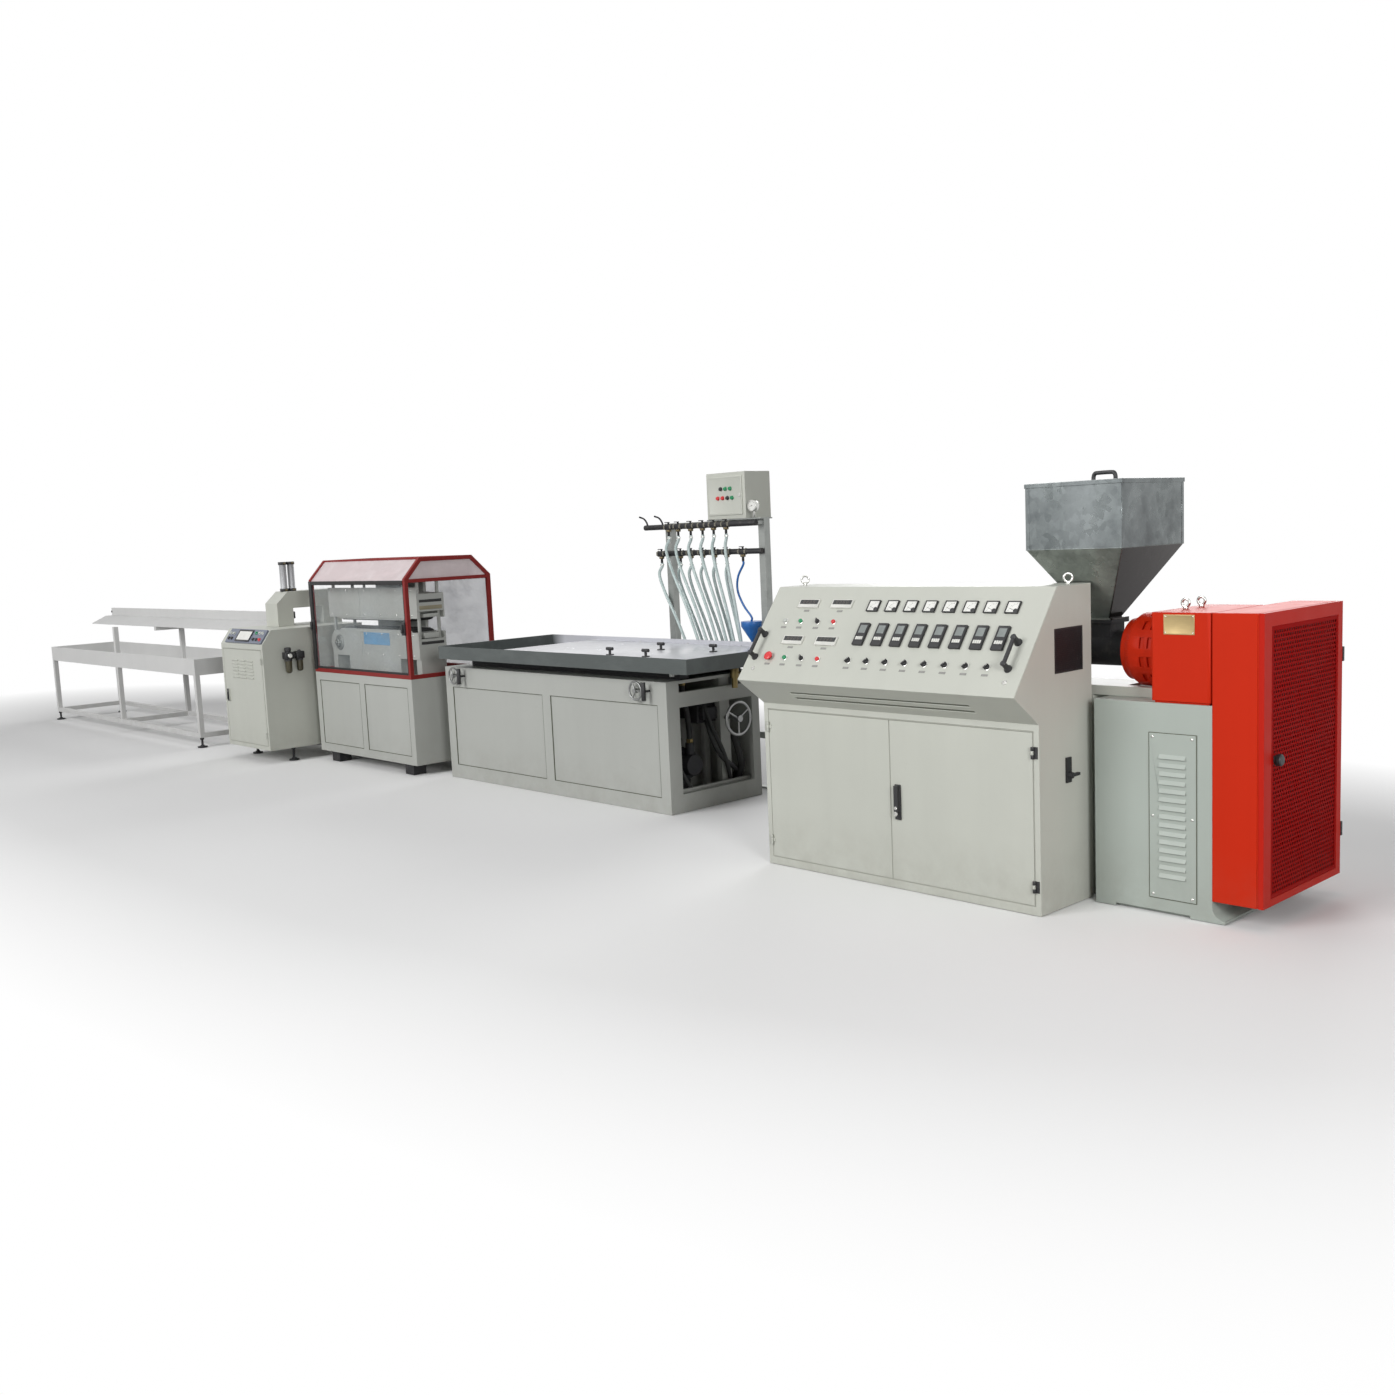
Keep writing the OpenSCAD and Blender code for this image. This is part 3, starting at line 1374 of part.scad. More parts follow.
extruder_base();
louvre_panel();
gearbox();
gearbox_nose();
lifting_eyes();
belt_guard();
guard_door();
belt_drive();
feed_throat();
hopper();
hopper_lid();
barrel();
heater_bands();
barrel_stand();
die_head();
console_cabinet();
console_door_left();
console_door_right();
door_handle();
door_hinges();
instrument_panel();
panel_meters();
temperature_controllers();
panel_switches();
bow_handles();
main_switch();
table_cabinet();
water_tray();
tray_slides();
clamp_knobs();
handwheel_left();
handwheel_right();
end_handwheel();
pump_unit();
drain_pipe();
cross_pipe();
rack_frame();
manifolds();
rack_box();
pressure_gauge();
hoses();
funnel_hose();
funnel();
haul_off_base();
hood_frame();
hood_panes();
track_frame();
lower_track();
upper_track();
cutter_cabinet();
cutter_door();
control_panel();
cutter_head();
air_cylinders();
air_unit();
stacker_frame();
receiving_tray();
profile_trough();
machine_feet();
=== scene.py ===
import json
import math

import bmesh
import bpy
from mathutils import Matrix, Vector

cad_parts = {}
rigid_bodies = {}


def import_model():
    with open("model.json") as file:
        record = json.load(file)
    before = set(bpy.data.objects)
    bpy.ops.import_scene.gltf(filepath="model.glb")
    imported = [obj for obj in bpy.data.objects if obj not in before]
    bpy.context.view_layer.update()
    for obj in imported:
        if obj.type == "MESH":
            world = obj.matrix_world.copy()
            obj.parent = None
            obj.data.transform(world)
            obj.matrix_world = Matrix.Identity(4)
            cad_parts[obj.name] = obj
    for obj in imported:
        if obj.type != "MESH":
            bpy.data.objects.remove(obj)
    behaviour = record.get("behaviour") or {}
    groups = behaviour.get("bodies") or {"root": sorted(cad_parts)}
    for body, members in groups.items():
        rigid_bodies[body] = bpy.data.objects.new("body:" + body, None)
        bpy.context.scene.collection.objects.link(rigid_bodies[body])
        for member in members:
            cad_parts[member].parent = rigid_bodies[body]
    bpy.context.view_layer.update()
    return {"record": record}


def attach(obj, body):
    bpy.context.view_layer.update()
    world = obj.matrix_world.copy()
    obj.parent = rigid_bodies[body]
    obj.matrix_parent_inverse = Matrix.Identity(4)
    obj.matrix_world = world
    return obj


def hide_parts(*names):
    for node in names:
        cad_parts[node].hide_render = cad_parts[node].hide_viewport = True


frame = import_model()


# Camera

CAMERA_AT = (2.669, -5.129, 1.5853)
CAMERA_TURN = (-47.09, 6.90, -2.60)
FRAME_WIDTH, LENS = 36, 35.197


def place_camera():
    """Camera of the photograph: found from the edges of the machines."""
    yaw, pitch, roll = (math.radians(d) for d in CAMERA_TURN)
    ahead = Vector((math.sin(yaw) * math.cos(pitch), math.cos(yaw) * math.cos(pitch), -math.sin(pitch)))
    level = Vector((math.cos(yaw), -math.sin(yaw), 0))
    upright = level.cross(ahead)
    right = level * math.cos(roll) + upright * math.sin(roll)
    up = upright * math.cos(roll) - level * math.sin(roll)
    bpy.ops.object.camera_add()
    camera = bpy.context.object
    turn = Matrix((right, up, -ahead)).transposed().to_4x4()
    camera.matrix_world = Matrix.Translation(CAMERA_AT) @ turn
    camera.data.sensor_width = FRAME_WIDTH
    camera.data.lens = LENS
    camera.data.clip_end = 200
    bpy.context.scene.camera = camera


place_camera()


# Finishes

def srgb(r, g, b):
    """Colour picked on a screen, 0 to 255, as the shader wants it."""
    shares = [c / 255 for c in (r, g, b)]
    return tuple(c / 12.92 if c <= 0.04045 else ((c + 0.055) / 1.055) ** 2.4 for c in shares) + (1.0,)


class Signal:
    """One socket of a finish, so that sums of sockets are written as sums."""

    def __init__(self, finish, socket):
        self.finish = finish
        self.socket = socket

    def sum(self, operation, a, b, clamp=False):
        return self.finish.node("ShaderNodeMath", {"operation": operation, "use_clamp": clamp}, {0: a, 1: b})

    def __add__(self, other):
        return self.sum("ADD", self, other)

    def __radd__(self, other):
        return self.sum("ADD", other, self)

    def __sub__(self, other):
        return self.sum("SUBTRACT", self, other)

    def __rsub__(self, other):
        return self.sum("SUBTRACT", other, self)

    def __mul__(self, other):
        return self.sum("MULTIPLY", self, other)

    def __rmul__(self, other):
        return self.sum("MULTIPLY", other, self)

    def __truediv__(self, other):
        return self.sum("DIVIDE", self, other)

    def held(self):
        """The value kept between 0 and 1."""
        return self.sum("ADD", self, 0.0, clamp=True)


class Finish:
    """A material made of nodes, with the constants of its shader set on the shader itself."""

    def __init__(self, name, **constants):
        self.material = bpy.data.materials.new(name)
        self.material.use_nodes = True
        self.tree = self.material.node_tree
        self.shader = self.tree.nodes["Principled BSDF"]
        for socket, value in constants.items():
            self.shader.inputs[socket.replace("_", " ")].default_value = value
        self.place = self.node("ShaderNodeTexCoord", out="Object")

    def node(self, kind, settings=None, inputs=None, out=0):
        made = self.tree.nodes.new(kind)
        for key, value in (settings or {}).items():
            setattr(made, key, value)
        for key, value in (inputs or {}).items():
            if isinstance(value, Signal):
                self.tree.links.new(value.socket, made.inputs[key])
            else:
                made.inputs[key].default_value = value
        return Signal(self, made.outputs[out])

    def feed(self, socket, signal):
        self.tree.links.new(signal.socket, self.shader.inputs[socket])

    def stretched(self, x, y, z):
        return self.node("ShaderNodeMapping", inputs={"Vector": self.place, "Scale": (x, y, z)})

    def cloud(self, scale, detail=3.0, rough=0.5, at=None):
        return self.node("ShaderNodeTexNoise", inputs={
            "Vector": at or self.place, "Scale": scale, "Detail": detail, "Roughness": rough})

    def band(self, signal, low, high):
        """0 below low, 1 above high, a straight rise between."""
        return self.node("ShaderNodeMapRange", inputs={
            "Value": signal, "From Min": low, "From Max": high, "To Min": 0.0, "To Max": 1.0})

    def blend(self, share, a, b):
        return self.node("ShaderNodeMix", {"data_type": "RGBA"}, {0: share, 6: a, 7: b}, out=2)

    def axis(self, name):
        return self.node("ShaderNodeSeparateXYZ", inputs={"Vector": self.place}, out=name)

    def relief(self, signal, distance, strength):
        self.feed("Normal", self.node("ShaderNodeBump", inputs={
            "Height": signal, "Distance": distance, "Strength": strength}))


def toned(colour, factor):
    return tuple(min(1.0, c * factor) for c in colour[:3]) + (1.0,)


def paint(name, colour, gloss=0.38, dirt=0.5, shine=0.45, hollow=None):
    """Sprayed machine paint: soft cloudiness, run marks, flecks, dust near the floor.

    A hollow is a depth in X and a field in Y and Z: what lies behind that depth in the field is painted
    nearly black as its shade.
    """
    f = Finish(name, Specular_IOR_Level=shine)
    clouds = f.cloud(1.3, 4.0, 0.6)
    runs = f.cloud(5.0, 3.0, 0.6, f.stretched(1.0, 1.0, 0.08))
    flecks = f.band(f.cloud(240.0, 2.0, 0.7), 0.69, 0.74)
    scuffs = f.band(f.cloud(22.0, 6.0, 0.75, f.stretched(0.35, 0.35, 1.0)), 0.63, 0.72)
    dust = ((1.0 - f.band(f.axis("Z"), 0.0, 0.30)) * f.band(f.cloud(7.0, 5.0, 0.7), 0.35, 0.7) * dirt).held()
    base = f.blend(clouds, toned(colour, 0.93), toned(colour, 1.06))
    base = f.blend((f.band(runs, 0.42, 0.78) * 0.22).held(), base, toned(colour, 0.80))
    base = f.blend((scuffs * 0.16).held(), base, toned(colour, 0.72))
    base = f.blend((flecks * 0.35).held(), base, toned(colour, 0.55))
    base = f.blend(dust, base, tuple(0.5 * c + 0.5 * d for c, d in zip(colour, srgb(120, 112, 98))))
    if hollow:
        depth, near, far, low, high = hollow
        y, z, edge = f.axis("Y"), f.axis("Z"), 0.001
        field = f.band(y, near, near + edge) * (1.0 - f.band(y, far, far + edge))
        field = field * f.band(z, low, low + edge) * (1.0 - f.band(z, high, high + edge))
        # Painted shade: the hollow behind the field turns nearly black.
        behind = 1.0 - f.band(f.axis("X"), depth, depth + edge)
        base = f.blend(field * behind, base, toned(colour, 0.12))
    f.feed("Base Color", base)
    f.feed("Roughness", (gloss + f.cloud(9.0, 4.0) * 0.14 + scuffs * 0.12 - 0.05).held())
    f.relief(f.cloud(420.0, 2.0) * 0.6 + f.cloud(60.0, 2.0) * 0.4, 0.0006, 0.25)
    return f.material


HOPPER_FOLD = 1.450


def zinc_sheet():
    """Hot-dipped sheet: faint flakes under wide dull and dark patches; painted shade makes the box darker
    than the cone, and a painted dark reflection lies on the cone's drive side.
    """
    f = Finish("zinc_sheet", Metallic=0.85)
    flake = f.node("ShaderNodeTexVoronoi", {"feature": "F1"}, {"Vector": f.place, "Scale": 36.0}, out="Color")
    grain = f.node("ShaderNodeSeparateColor", inputs={"Color": flake}, out="Red")
    patch = f.band(f.cloud(5.2, 6.0, 0.66), 0.40, 0.64)
    wash = f.band(f.cloud(2.6, 4.0, 0.55, f.stretched(1.0, 1.0, 0.45)), 0.42, 0.64)
    box = f.band(f.axis("Z"), HOPPER_FOLD - 0.002, HOPPER_FOLD + 0.002)
    # Painted shade: the box above the fold takes darker tones than the cone below it.
    tone = f.blend(grain, f.blend(box, srgb(140, 146, 142), srgb(104, 110, 110)),
                   f.blend(box, srgb(164, 170, 166), srgb(124, 130, 130)))
    tone = f.blend((patch * 0.75).held(), tone, f.blend(box, srgb(92, 96, 92), srgb(68, 72, 74)))
    tone = f.blend((wash * 0.45).held(), tone, f.blend(box, srgb(182, 187, 182), srgb(140, 145, 146)))
    # Painted reflection: the cone's side towards the drive is painted dark brown and made smoother.
    off_middle = f.node("ShaderNodeMath", {"operation": "ABSOLUTE"}, {0: f.axis("Y")})
    drive_side = f.band(f.axis("X") + 0.325 - off_middle * 0.88, -0.004, 0.004)
    painted_reflection = drive_side * (1.0 - box)
    f.feed("Base Color", f.blend(painted_reflection, tone, srgb(30, 22, 20)))
    f.feed("Roughness", (0.22 + grain * 0.06 + patch * 0.16 - painted_reflection * 0.20).held())
    f.relief(grain * 0.2 + f.cloud(9.0, 3.0), 0.0015, 0.22)
    return f.material


EVEN, LONG_X, SHORT_X, UPRIGHT = (1.0, 1.0, 1.0), (0.05, 1.0, 1.0), (0.1, 1.0, 1.0), (1.0, 1.0, 0.1)


def metal(name, colour, rough, brush, stain, shine=1.0):
    """Bare or plated metal with fine brush lines and a few stains."""
    f = Finish(name, Metallic=shine)
    lines = f.cloud(260.0, 3.0, 0.6, f.stretched(*brush))
    marks = f.band(f.cloud(11.0, 5.0, 0.65), 0.45, 0.72)
    tone = f.blend(lines, toned(colour, 0.86), toned(colour, 1.10))
    tone = f.blend((marks * stain).held(), tone, toned(colour, 0.55))
    f.feed("Base Color", tone)
    f.feed("Roughness", (rough + lines * 0.10 + marks * 0.12).held())
    f.relief(lines, 0.0003, 0.3)
    return f.material


def moulded(name, colour, rough=0.45, grain=380.0, relief=0.0005):
    """Moulded plastic or rubber with a fine grain and slight handling marks."""
    f = Finish(name)
    marks = f.cloud(14.0, 4.0, 0.6)
    pores = f.cloud(grain, 2.0, 0.6)
    tone = f.blend(marks, toned(colour, 0.82), toned(colour, 1.2))
    tone = f.blend((f.band(f.cloud(45.0, 5.0, 0.7), 0.62, 0.72) * 0.2).held(), tone, srgb(140, 138, 132))
    f.feed("Base Color", tone)
    f.feed("Roughness", (rough + marks * 0.16 - 0.06).held())
    f.relief(pores, relief, 0.3)
    return f.material


def cast_metal(name, colour):
    """Rough black iron with lighter worn patches."""
    f = Finish(name, Metallic=0.55)
    skin = f.cloud(90.0, 5.0, 0.65)
    worn = f.band(f.cloud(16.0, 5.0, 0.7), 0.54, 0.70)
    tone = f.blend(skin, toned(colour, 0.7), toned(colour, 1.5))
    tone = f.blend((worn * 0.35).held(), tone, srgb(96, 92, 86))
    f.feed("Base Color", tone)
    f.feed("Roughness", (0.52 + skin * 0.2).held())
    f.relief(skin, 0.0012, 0.5)
    return f.material


def clear_sheet():
    """Plastic sheet of the hood: clear with faint streaks, dull at the back, milky on the roof with a painted
    pink reflection.
    """
    f = Finish("clear_sheet", IOR=1.45, Specular_IOR_Level=0.35)
    film = f.cloud(2.4, 5.0, 0.65)
    streaks = f.band(f.cloud(7.0, 4.0, 0.6, f.stretched(0.5, 0.5, 1.6)), 0.50, 0.78)
    roof = f.band(f.axis("Z"), 1.340, 1.346)
    back = f.band(f.axis("Y"), 0.30, 0.40)
    tone = f.blend(film, srgb(150, 162, 166), srgb(196, 204, 208))
    tone = f.blend(back, tone, srgb(206, 210, 220))
    # Painted reflection: the roof's milky tone is tinted pink.
    tone = f.blend(roof, tone, f.blend(film, srgb(244, 222, 224), srgb(252, 246, 247)))
    f.feed("Base Color", tone)
    f.feed("Roughness", (0.06 + streaks * 0.20).held())
    clear = 0.07 + f.band(film, 0.45, 0.75) * 0.14 + streaks * 0.10
    f.feed("Alpha", (clear + back * 0.34 + roof * 0.55).held())
    return f.material


def milky_hose():
    """Soft clear hose seen as a milky green tube."""
    f = Finish("milky_hose", IOR=1.45)
    film = f.cloud(24.0, 4.0, 0.6)
    f.feed("Base Color", f.blend(film, srgb(172, 192, 190), srgb(218, 229, 227)))
    f.feed("Roughness", (0.16 + film * 0.14).held())
    f.feed("Alpha", (0.74 + film * 0.3).held())
    return f.material


def tray_sheet():
    """Dull sheet of the water tray, paler on its far wall beside the deck."""
    f = Finish("tray_sheet", Metallic=0.1)
    lines = f.cloud(260.0, 3.0, 0.6, f.stretched(0.05, 1.0, 1.0))
    marks = f.band(f.cloud(6.0, 5.0, 0.65, f.stretched(0.4, 1.0, 1.0)), 0.48, 0.70)
    far_wall = f.band(f.axis("Y"), 0.70, 0.735) * f.band(f.axis("X"), -5.15, -5.00)
    tone = f.blend(lines, srgb(70, 76, 75), srgb(86, 92, 91))
    tone = f.blend((marks * 0.35).held(), tone, srgb(116, 122, 121))
    f.feed("Base Color", f.blend(far_wall, tone, srgb(202, 203, 209)))
    f.feed("Roughness", (0.42 + lines * 0.10 + marks * 0.10).held())
    f.relief(lines, 0.0003, 0.3)
    return f.material


def hinge_finish():
    """Black hinges at the drive end of the line; the others are painted over."""
    f = Finish("hinge_finish")
    marks = f.cloud(30.0, 4.0, 0.6)
    tone = f.blend(f.band(f.axis("X"), -1.2, -1.1), srgb(188, 190, 182), srgb(32, 32, 34))
    f.feed("Base Color", f.blend((f.band(marks, 0.5, 0.8) * 0.25).held(), tone, srgb(110, 110, 106)))
    f.feed("Roughness", (0.40 + marks * 0.16).held())
    return f.material


finish_of = {
    "base_paint": paint("base_paint_finish", srgb(170, 178, 171)),
    "grey_paint": paint("grey_paint_finish", srgb(198, 200, 191)),
    "red_paint": paint("red_paint_finish", srgb(199, 44, 18), 0.42, 0.25, 0.1),
    "dark_red_paint": paint("dark_red_finish", srgb(140, 48, 46), 0.40, 0.3, 0.12),
    "blue_grey_paint": paint("blue_grey_finish", srgb(120, 126, 142), 0.4, 0.2),
    "galvanised": zinc_sheet(),
    "plain_steel": metal("plain_steel_finish", srgb(150, 153, 150), 0.36, LONG_X, 0.35, 0.85),
    "bright_steel": metal("bright_steel_finish", srgb(206, 206, 202), 0.16, UPRIGHT, 0.12),
    "black_iron": cast_metal("black_iron_finish", srgb(44, 44, 46)),
    "brass": metal("brass_finish", srgb(128, 114, 78), 0.34, EVEN, 0.4),
    "black_plastic": moulded("black_plastic_finish", srgb(34, 34, 36)),
    "pale_plastic": moulded("pale_plastic_finish", srgb(222, 222, 216), 0.32),
    "blue_plastic": moulded("blue_plastic_finish", srgb(28, 98, 170), 0.3),
    "clear_hose": milky_hose(),
    "clear_pane": clear_sheet(),
    "black_rubber": moulded("black_rubber_finish", srgb(30, 30, 30), 0.7, 200.0, 0.001),
}

screen_red = paint("screen_red", srgb(156, 14, 12), 0.5, 0.2, 0.03)
# Painted shade: the guard door's red is darker than the guard's red paint, and the hollow behind its screen
# is painted nearly black.
shaded_door_red = paint("shaded_door_red", srgb(190, 34, 20), 0.42, 0.25, 0.1, hollow=(0.4392, -0.190, 0.440, 0.120, 1.160))
wheel_steel = metal("wheel_steel", srgb(146, 147, 146), 0.28, EVEN, 0.25, 0.9)
cylinder_alloy = metal("cylinder_alloy", srgb(172, 173, 175), 0.42, UPRIGHT, 0.1, 0.6)
dull_brass = metal("dull_brass", srgb(112, 101, 76), 0.42, EVEN, 0.5, 0.7)
sleeve_grey = metal("sleeve_grey", srgb(120, 117, 106), 0.40, EVEN, 0.4, 0.7)
# Painted shade: dark strips in slots and round sunk panels stand in for the shade in them.
shade_strip_dark = paint("shade_strip_dark", srgb(104, 108, 96), 0.5, 0.0, 0.2)
guide_tan = moulded("guide_tan", srgb(148, 140, 116), 0.4)
seal_pale = moulded("seal_pale", srgb(168, 169, 160), 0.5)
deck_white = paint("deck_white", srgb(226, 227, 232), 0.22, 0.0)
plate_blue = moulded("plate_blue", srgb(84, 158, 208), 0.3)
amber_bowl = moulded("amber_bowl", srgb(74, 70, 52), 0.18)
shop_grey = paint("shop_grey", srgb(185, 187, 182))
rack_grey = paint("rack_grey", srgb(214, 214, 213))
label_grey = metal("label_grey", srgb(150, 150, 146), 0.42, SHORT_X, 0.2, 0.4)
plate_metal = metal("plate_metal", srgb(180, 158, 112), 0.42, SHORT_X, 0.2, 0.5)
dial_white = moulded("dial_white", srgb(238, 238, 232), 0.35)
dark_glass = moulded("dark_glass", srgb(58, 60, 60), 0.14, 600.0, 0.0001)
grey_screen = moulded("grey_screen", srgb(132, 138, 136), 0.2, 600.0, 0.0001)
dim_figure = moulded("dim_figure", srgb(104, 92, 84), 0.3)
lamp_red = moulded("lamp_red", srgb(214, 52, 56), 0.22)
lamp_green = moulded("lamp_green", srgb(36, 140, 92), 0.22)
lamp_grey = moulded("lamp_grey", srgb(190, 194, 188), 0.22)


own_finish = {"guard_door": shaded_door_red, "water_tray": tray_sheet(), "door_hinges": hinge_finish(),
              "air_cylinders": cylinder_alloy}
own_finish.update({node: shop_grey for node in (
    "table_cabinet", "haul_off_base", "track_frame", "lower_track", "upper_track")})
own_finish.update({node: wheel_steel for node in ("handwheel_left", "handwheel_right", "end_handwheel")})
own_finish.update({node: rack_grey for node in ("stacker_frame", "receiving_tray", "profile_trough")})


def add_modifier(piece, name, kind, **settings):
    made = piece.modifiers.new(name, kind)
    for key, value in settings.items():
        setattr(made, key, value)
    return made


def dress_solids():
    """Each node of the frame takes the finish of its slot, with its edges eased."""
    for row in frame["record"]["subparts"]:
        solid = bpy.data.objects[row["node"]]
        solid.data.materials.clear()
        solid.data.materials.append(own_finish.get(row["node"]) or finish_of[row["material_slot"]])
        add_modifier(solid, "joined", "WELD", merge_threshold=0.00002)
        add_modifier(solid, "flat_faces", "DECIMATE", decimate_type="DISSOLVE", angle_limit=math.radians(0.5))
        add_modifier(solid, "eased_edges", "BEVEL", width=0.002, segments=2, limit_method="ANGLE",
                     angle_limit=math.radians(35), harden_normals=True)


dress_solids()


# Modelling steps

def begin():
    """Object mode with nothing selected."""
    if bpy.context.mode != "OBJECT":
        bpy.ops.object.mode_set(mode="OBJECT")
    bpy.ops.object.select_all(action="DESELECT")


def pick(piece):
    """Object mode with one piece selected."""
    begin()
    piece.select_set(True)
    bpy.context.view_layer.objects.active = piece


def shape(piece):
    """Edit mode on one piece with nothing selected."""
    pick(piece)
    bpy.ops.object.mode_set(mode="EDIT")
    bpy.ops.mesh.select_all(action="DESELECT")


def pick_faces(piece, wanted):
    """In edit mode, selects the faces whose middle and normal are wanted."""
    bpy.ops.mesh.select_mode(type="FACE")
    bpy.ops.mesh.select_all(action="DESELECT")
    net = bmesh.from_edit_mesh(piece.data)
    for face in net.faces:
        face.select_set(wanted(face.calc_center_median(), face.normal))
    bmesh.update_edit_mesh(piece.data)


def settle(piece):
    """The piece's place goes into its mesh."""
    pick(piece)
    bpy.ops.object.transform_apply(location=True, rotation=True, scale=True)
    return piece


def face_out():
    """In edit mode, turns all faces outward and leaves for object mode."""
    bpy.ops.mesh.select_all(action="SELECT")
    bpy.ops.mesh.normals_make_consistent(inside=False)
    begin()


def carry_out(piece, kind, **settings):
    """A modifier that becomes part of the piece's mesh."""
    pick(piece)
    bpy.ops.object.modifier_apply(modifier=add_modifier(piece, kind.lower(), kind, **settings).name)


def along_way(at, way):
    """Place whose own Z runs along the way."""
    return Matrix.Translation(at) @ Vector(way).to_track_quat("Z", "Y").to_matrix().to_4x4()


def block(low, high, ease=0.002, rounds=2):
    """Box between two corners with its edges eased."""
    low, high = Vector(low), Vector(high)
    begin()
    bpy.ops.mesh.primitive_cube_add(size=1.0, location=(low + high) / 2)
    piece = bpy.context.object
    piece.scale = high - low
    settle(piece)
    if ease:
        shape(piece)
        bpy.ops.mesh.select_all(action="SELECT")
        bpy.ops.mesh.bevel(offset=ease, segments=rounds, affect="EDGES")
        begin()
    return piece


def edge_strips(across, up, deep, wide, ease=0.0006, front=True):
    """Four strips along the inside of a rectangle that looks to the front, or else to the drive end.

    Across and up are its ranges, deep is the strips' range along its normal and wide their width.
    """
    (west, east), (low, high) = across, up
    strips = []
    for a, z, a_end, z_end in ((west, low, east, low + wide), (west, high - wide, east, high),
                               (west, low + wide, west + wide, high - wide),
                               (east - wide, low + wide, east, high - wide)):
        if front:
            strips.append(block((a, deep[0], z), (a_end, deep[1], z_end), ease, 1))
        else:
            strips.append(block((deep[0], a, z), (deep[1], a_end, z_end), ease, 1))
    return strips


def turned(steps, sides=24, at=(0, 0, 0), along=(0, 0, 1)):
    """Turned part: a disc drawn out along its axis through steps of (height, radius)."""
    begin()
    bpy.ops.mesh.primitive_circle_add(vertices=sides, radius=steps[0][1], fill_type="NGON",
                                      location=(0, 0, steps[0][0]))
    piece = settle(bpy.context.object)
    shape(piece)
    bpy.ops.mesh.select_all(action="SELECT")
    for (last_h, last_r), (h, r) in zip(steps, steps[1:]):
        bpy.ops.mesh.extrude_region_move(TRANSFORM_OT_translate={"value": (0, 0, h - last_h)})
        bpy.ops.transform.resize(value=(r / last_r, r / last_r, 1), center_override=(0, 0, h))
    face_out()
    piece.matrix_world = along_way(at, along)
    return settle(piece)


def rod(a, b, radius, sides):
    """Round bar from a to b with eased ends."""
    a, b = Vector(a), Vector(b)
    cut = radius * 0.25
    length = (b - a).length
    return turned([(0, radius - cut), (cut, radius), (length - cut, radius), (length, radius - cut)],
                  sides, a, b - a)


def round_line(name, points, radius, fineness):
    """Curve of one open spline through the points, with a round section."""
    line = bpy.data.curves.new(name, "CURVE")
    line.dimensions = "3D"
    line.bevel_depth = radius
    line.bevel_resolution = fineness
    line.use_fill_caps = True
    spline = line.splines.new("POLY")
    spline.points.add(len(points) - 1)
    for point, at in zip(spline.points, points):
        point.co = (*at, 1)
    made = bpy.data.objects.new(name, line)
    bpy.context.collection.objects.link(made)
    return made


def tube_along(points, radius, sides):
    """Bent round bar: a curve through the points, turned into a mesh."""
    begin()
    pick(round_line("bent_bar", points, radius, max(0, sides // 4 - 1)))
    bpy.ops.object.convert(target="MESH")
    return bpy.context.object


def joined(pieces):
    """Several parts of one finish as one piece."""
    begin()
    for one in pieces:
        one.select_set(True)
    bpy.context.view_layer.objects.active = pieces[0]
    if len(pieces) > 1:
        bpy.ops.object.join()
    return bpy.context.view_layer.objects.active


def copy_at(master, at):
    """One copy of the master at a place, a point or a matrix."""
    one = master.copy()
    one.data = master.data.copy()
    bpy.context.collection.objects.link(one)
    one.matrix_world = at if isinstance(at, Matrix) else Matrix.Translation(at)
    return settle(one)


def copies(master, places):
    """The master copied to each place and joined; the master itself goes."""
    made = [copy_at(master, at) for at in places]
    bpy.data.objects.remove(master)
    return joined(made)


SMOOTH_BELOW = math.radians(40)


def done(piece, name, slot, finish=None, body="line", stands_for=()):
    """Names a finished piece, gives it its finish and lets it ride on its body."""
    settle(piece)
    bpy.ops.object.shade_smooth_by_angle(angle=SMOOTH_BELOW)
    piece.name = name
    piece.data.name = name
    piece.data.materials.clear()
    piece.data.materials.append(finish or finish_of[slot])
    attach(piece, body)
    if stands_for:
        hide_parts(*stands_for)
    return piece


def framed(low, high, rim, sink, facing, ease):
    """Box with a sunk field in the face that looks along facing."""
    piece = block(low, high, 0)
    shape(piece)
    way = Vector(facing)
    pick_faces(piece, lambda middle, normal: normal.dot(way) > 0.9)
    bpy.ops.mesh.inset(thickness=rim, depth=0.0)
    bpy.ops.mesh.extrude_region_move(TRANSFORM_OT_translate={"value": -sink * way})
    bpy.ops.mesh.select_all(action="SELECT")
    bpy.ops.mesh.select_mode(type="EDGE")
    bpy.ops.mesh.select_all(action="DESELECT")
    bpy.ops.mesh.edges_select_sharp(sharpness=math.radians(50))
    bpy.ops.mesh.bevel(offset=ease, segments=2, affect="EDGES")
    begin()
    return piece


def tinted_caps(steps, place, rows):
    """Sets of equal round caps, each set with a name, a finish and its spots for place()."""
    for name, tint, spots in rows:
        done(copies(turned(steps, 20), [place(*at) for at in spots]), name, "pale_plastic", tint)


def spun(low, high, ease, degrees, hub=(0, 0, 0)):
    """Thin bar of a dial, turned about the dial's hub."""
    bar = block(low, high, ease, 1)
    bar.matrix_world = Matrix.Translation(hub) @ Matrix.Rotation(math.radians(degrees), 4, "Z")
    return settle(bar)


# Hoses of the rack, on the route that the solids follow

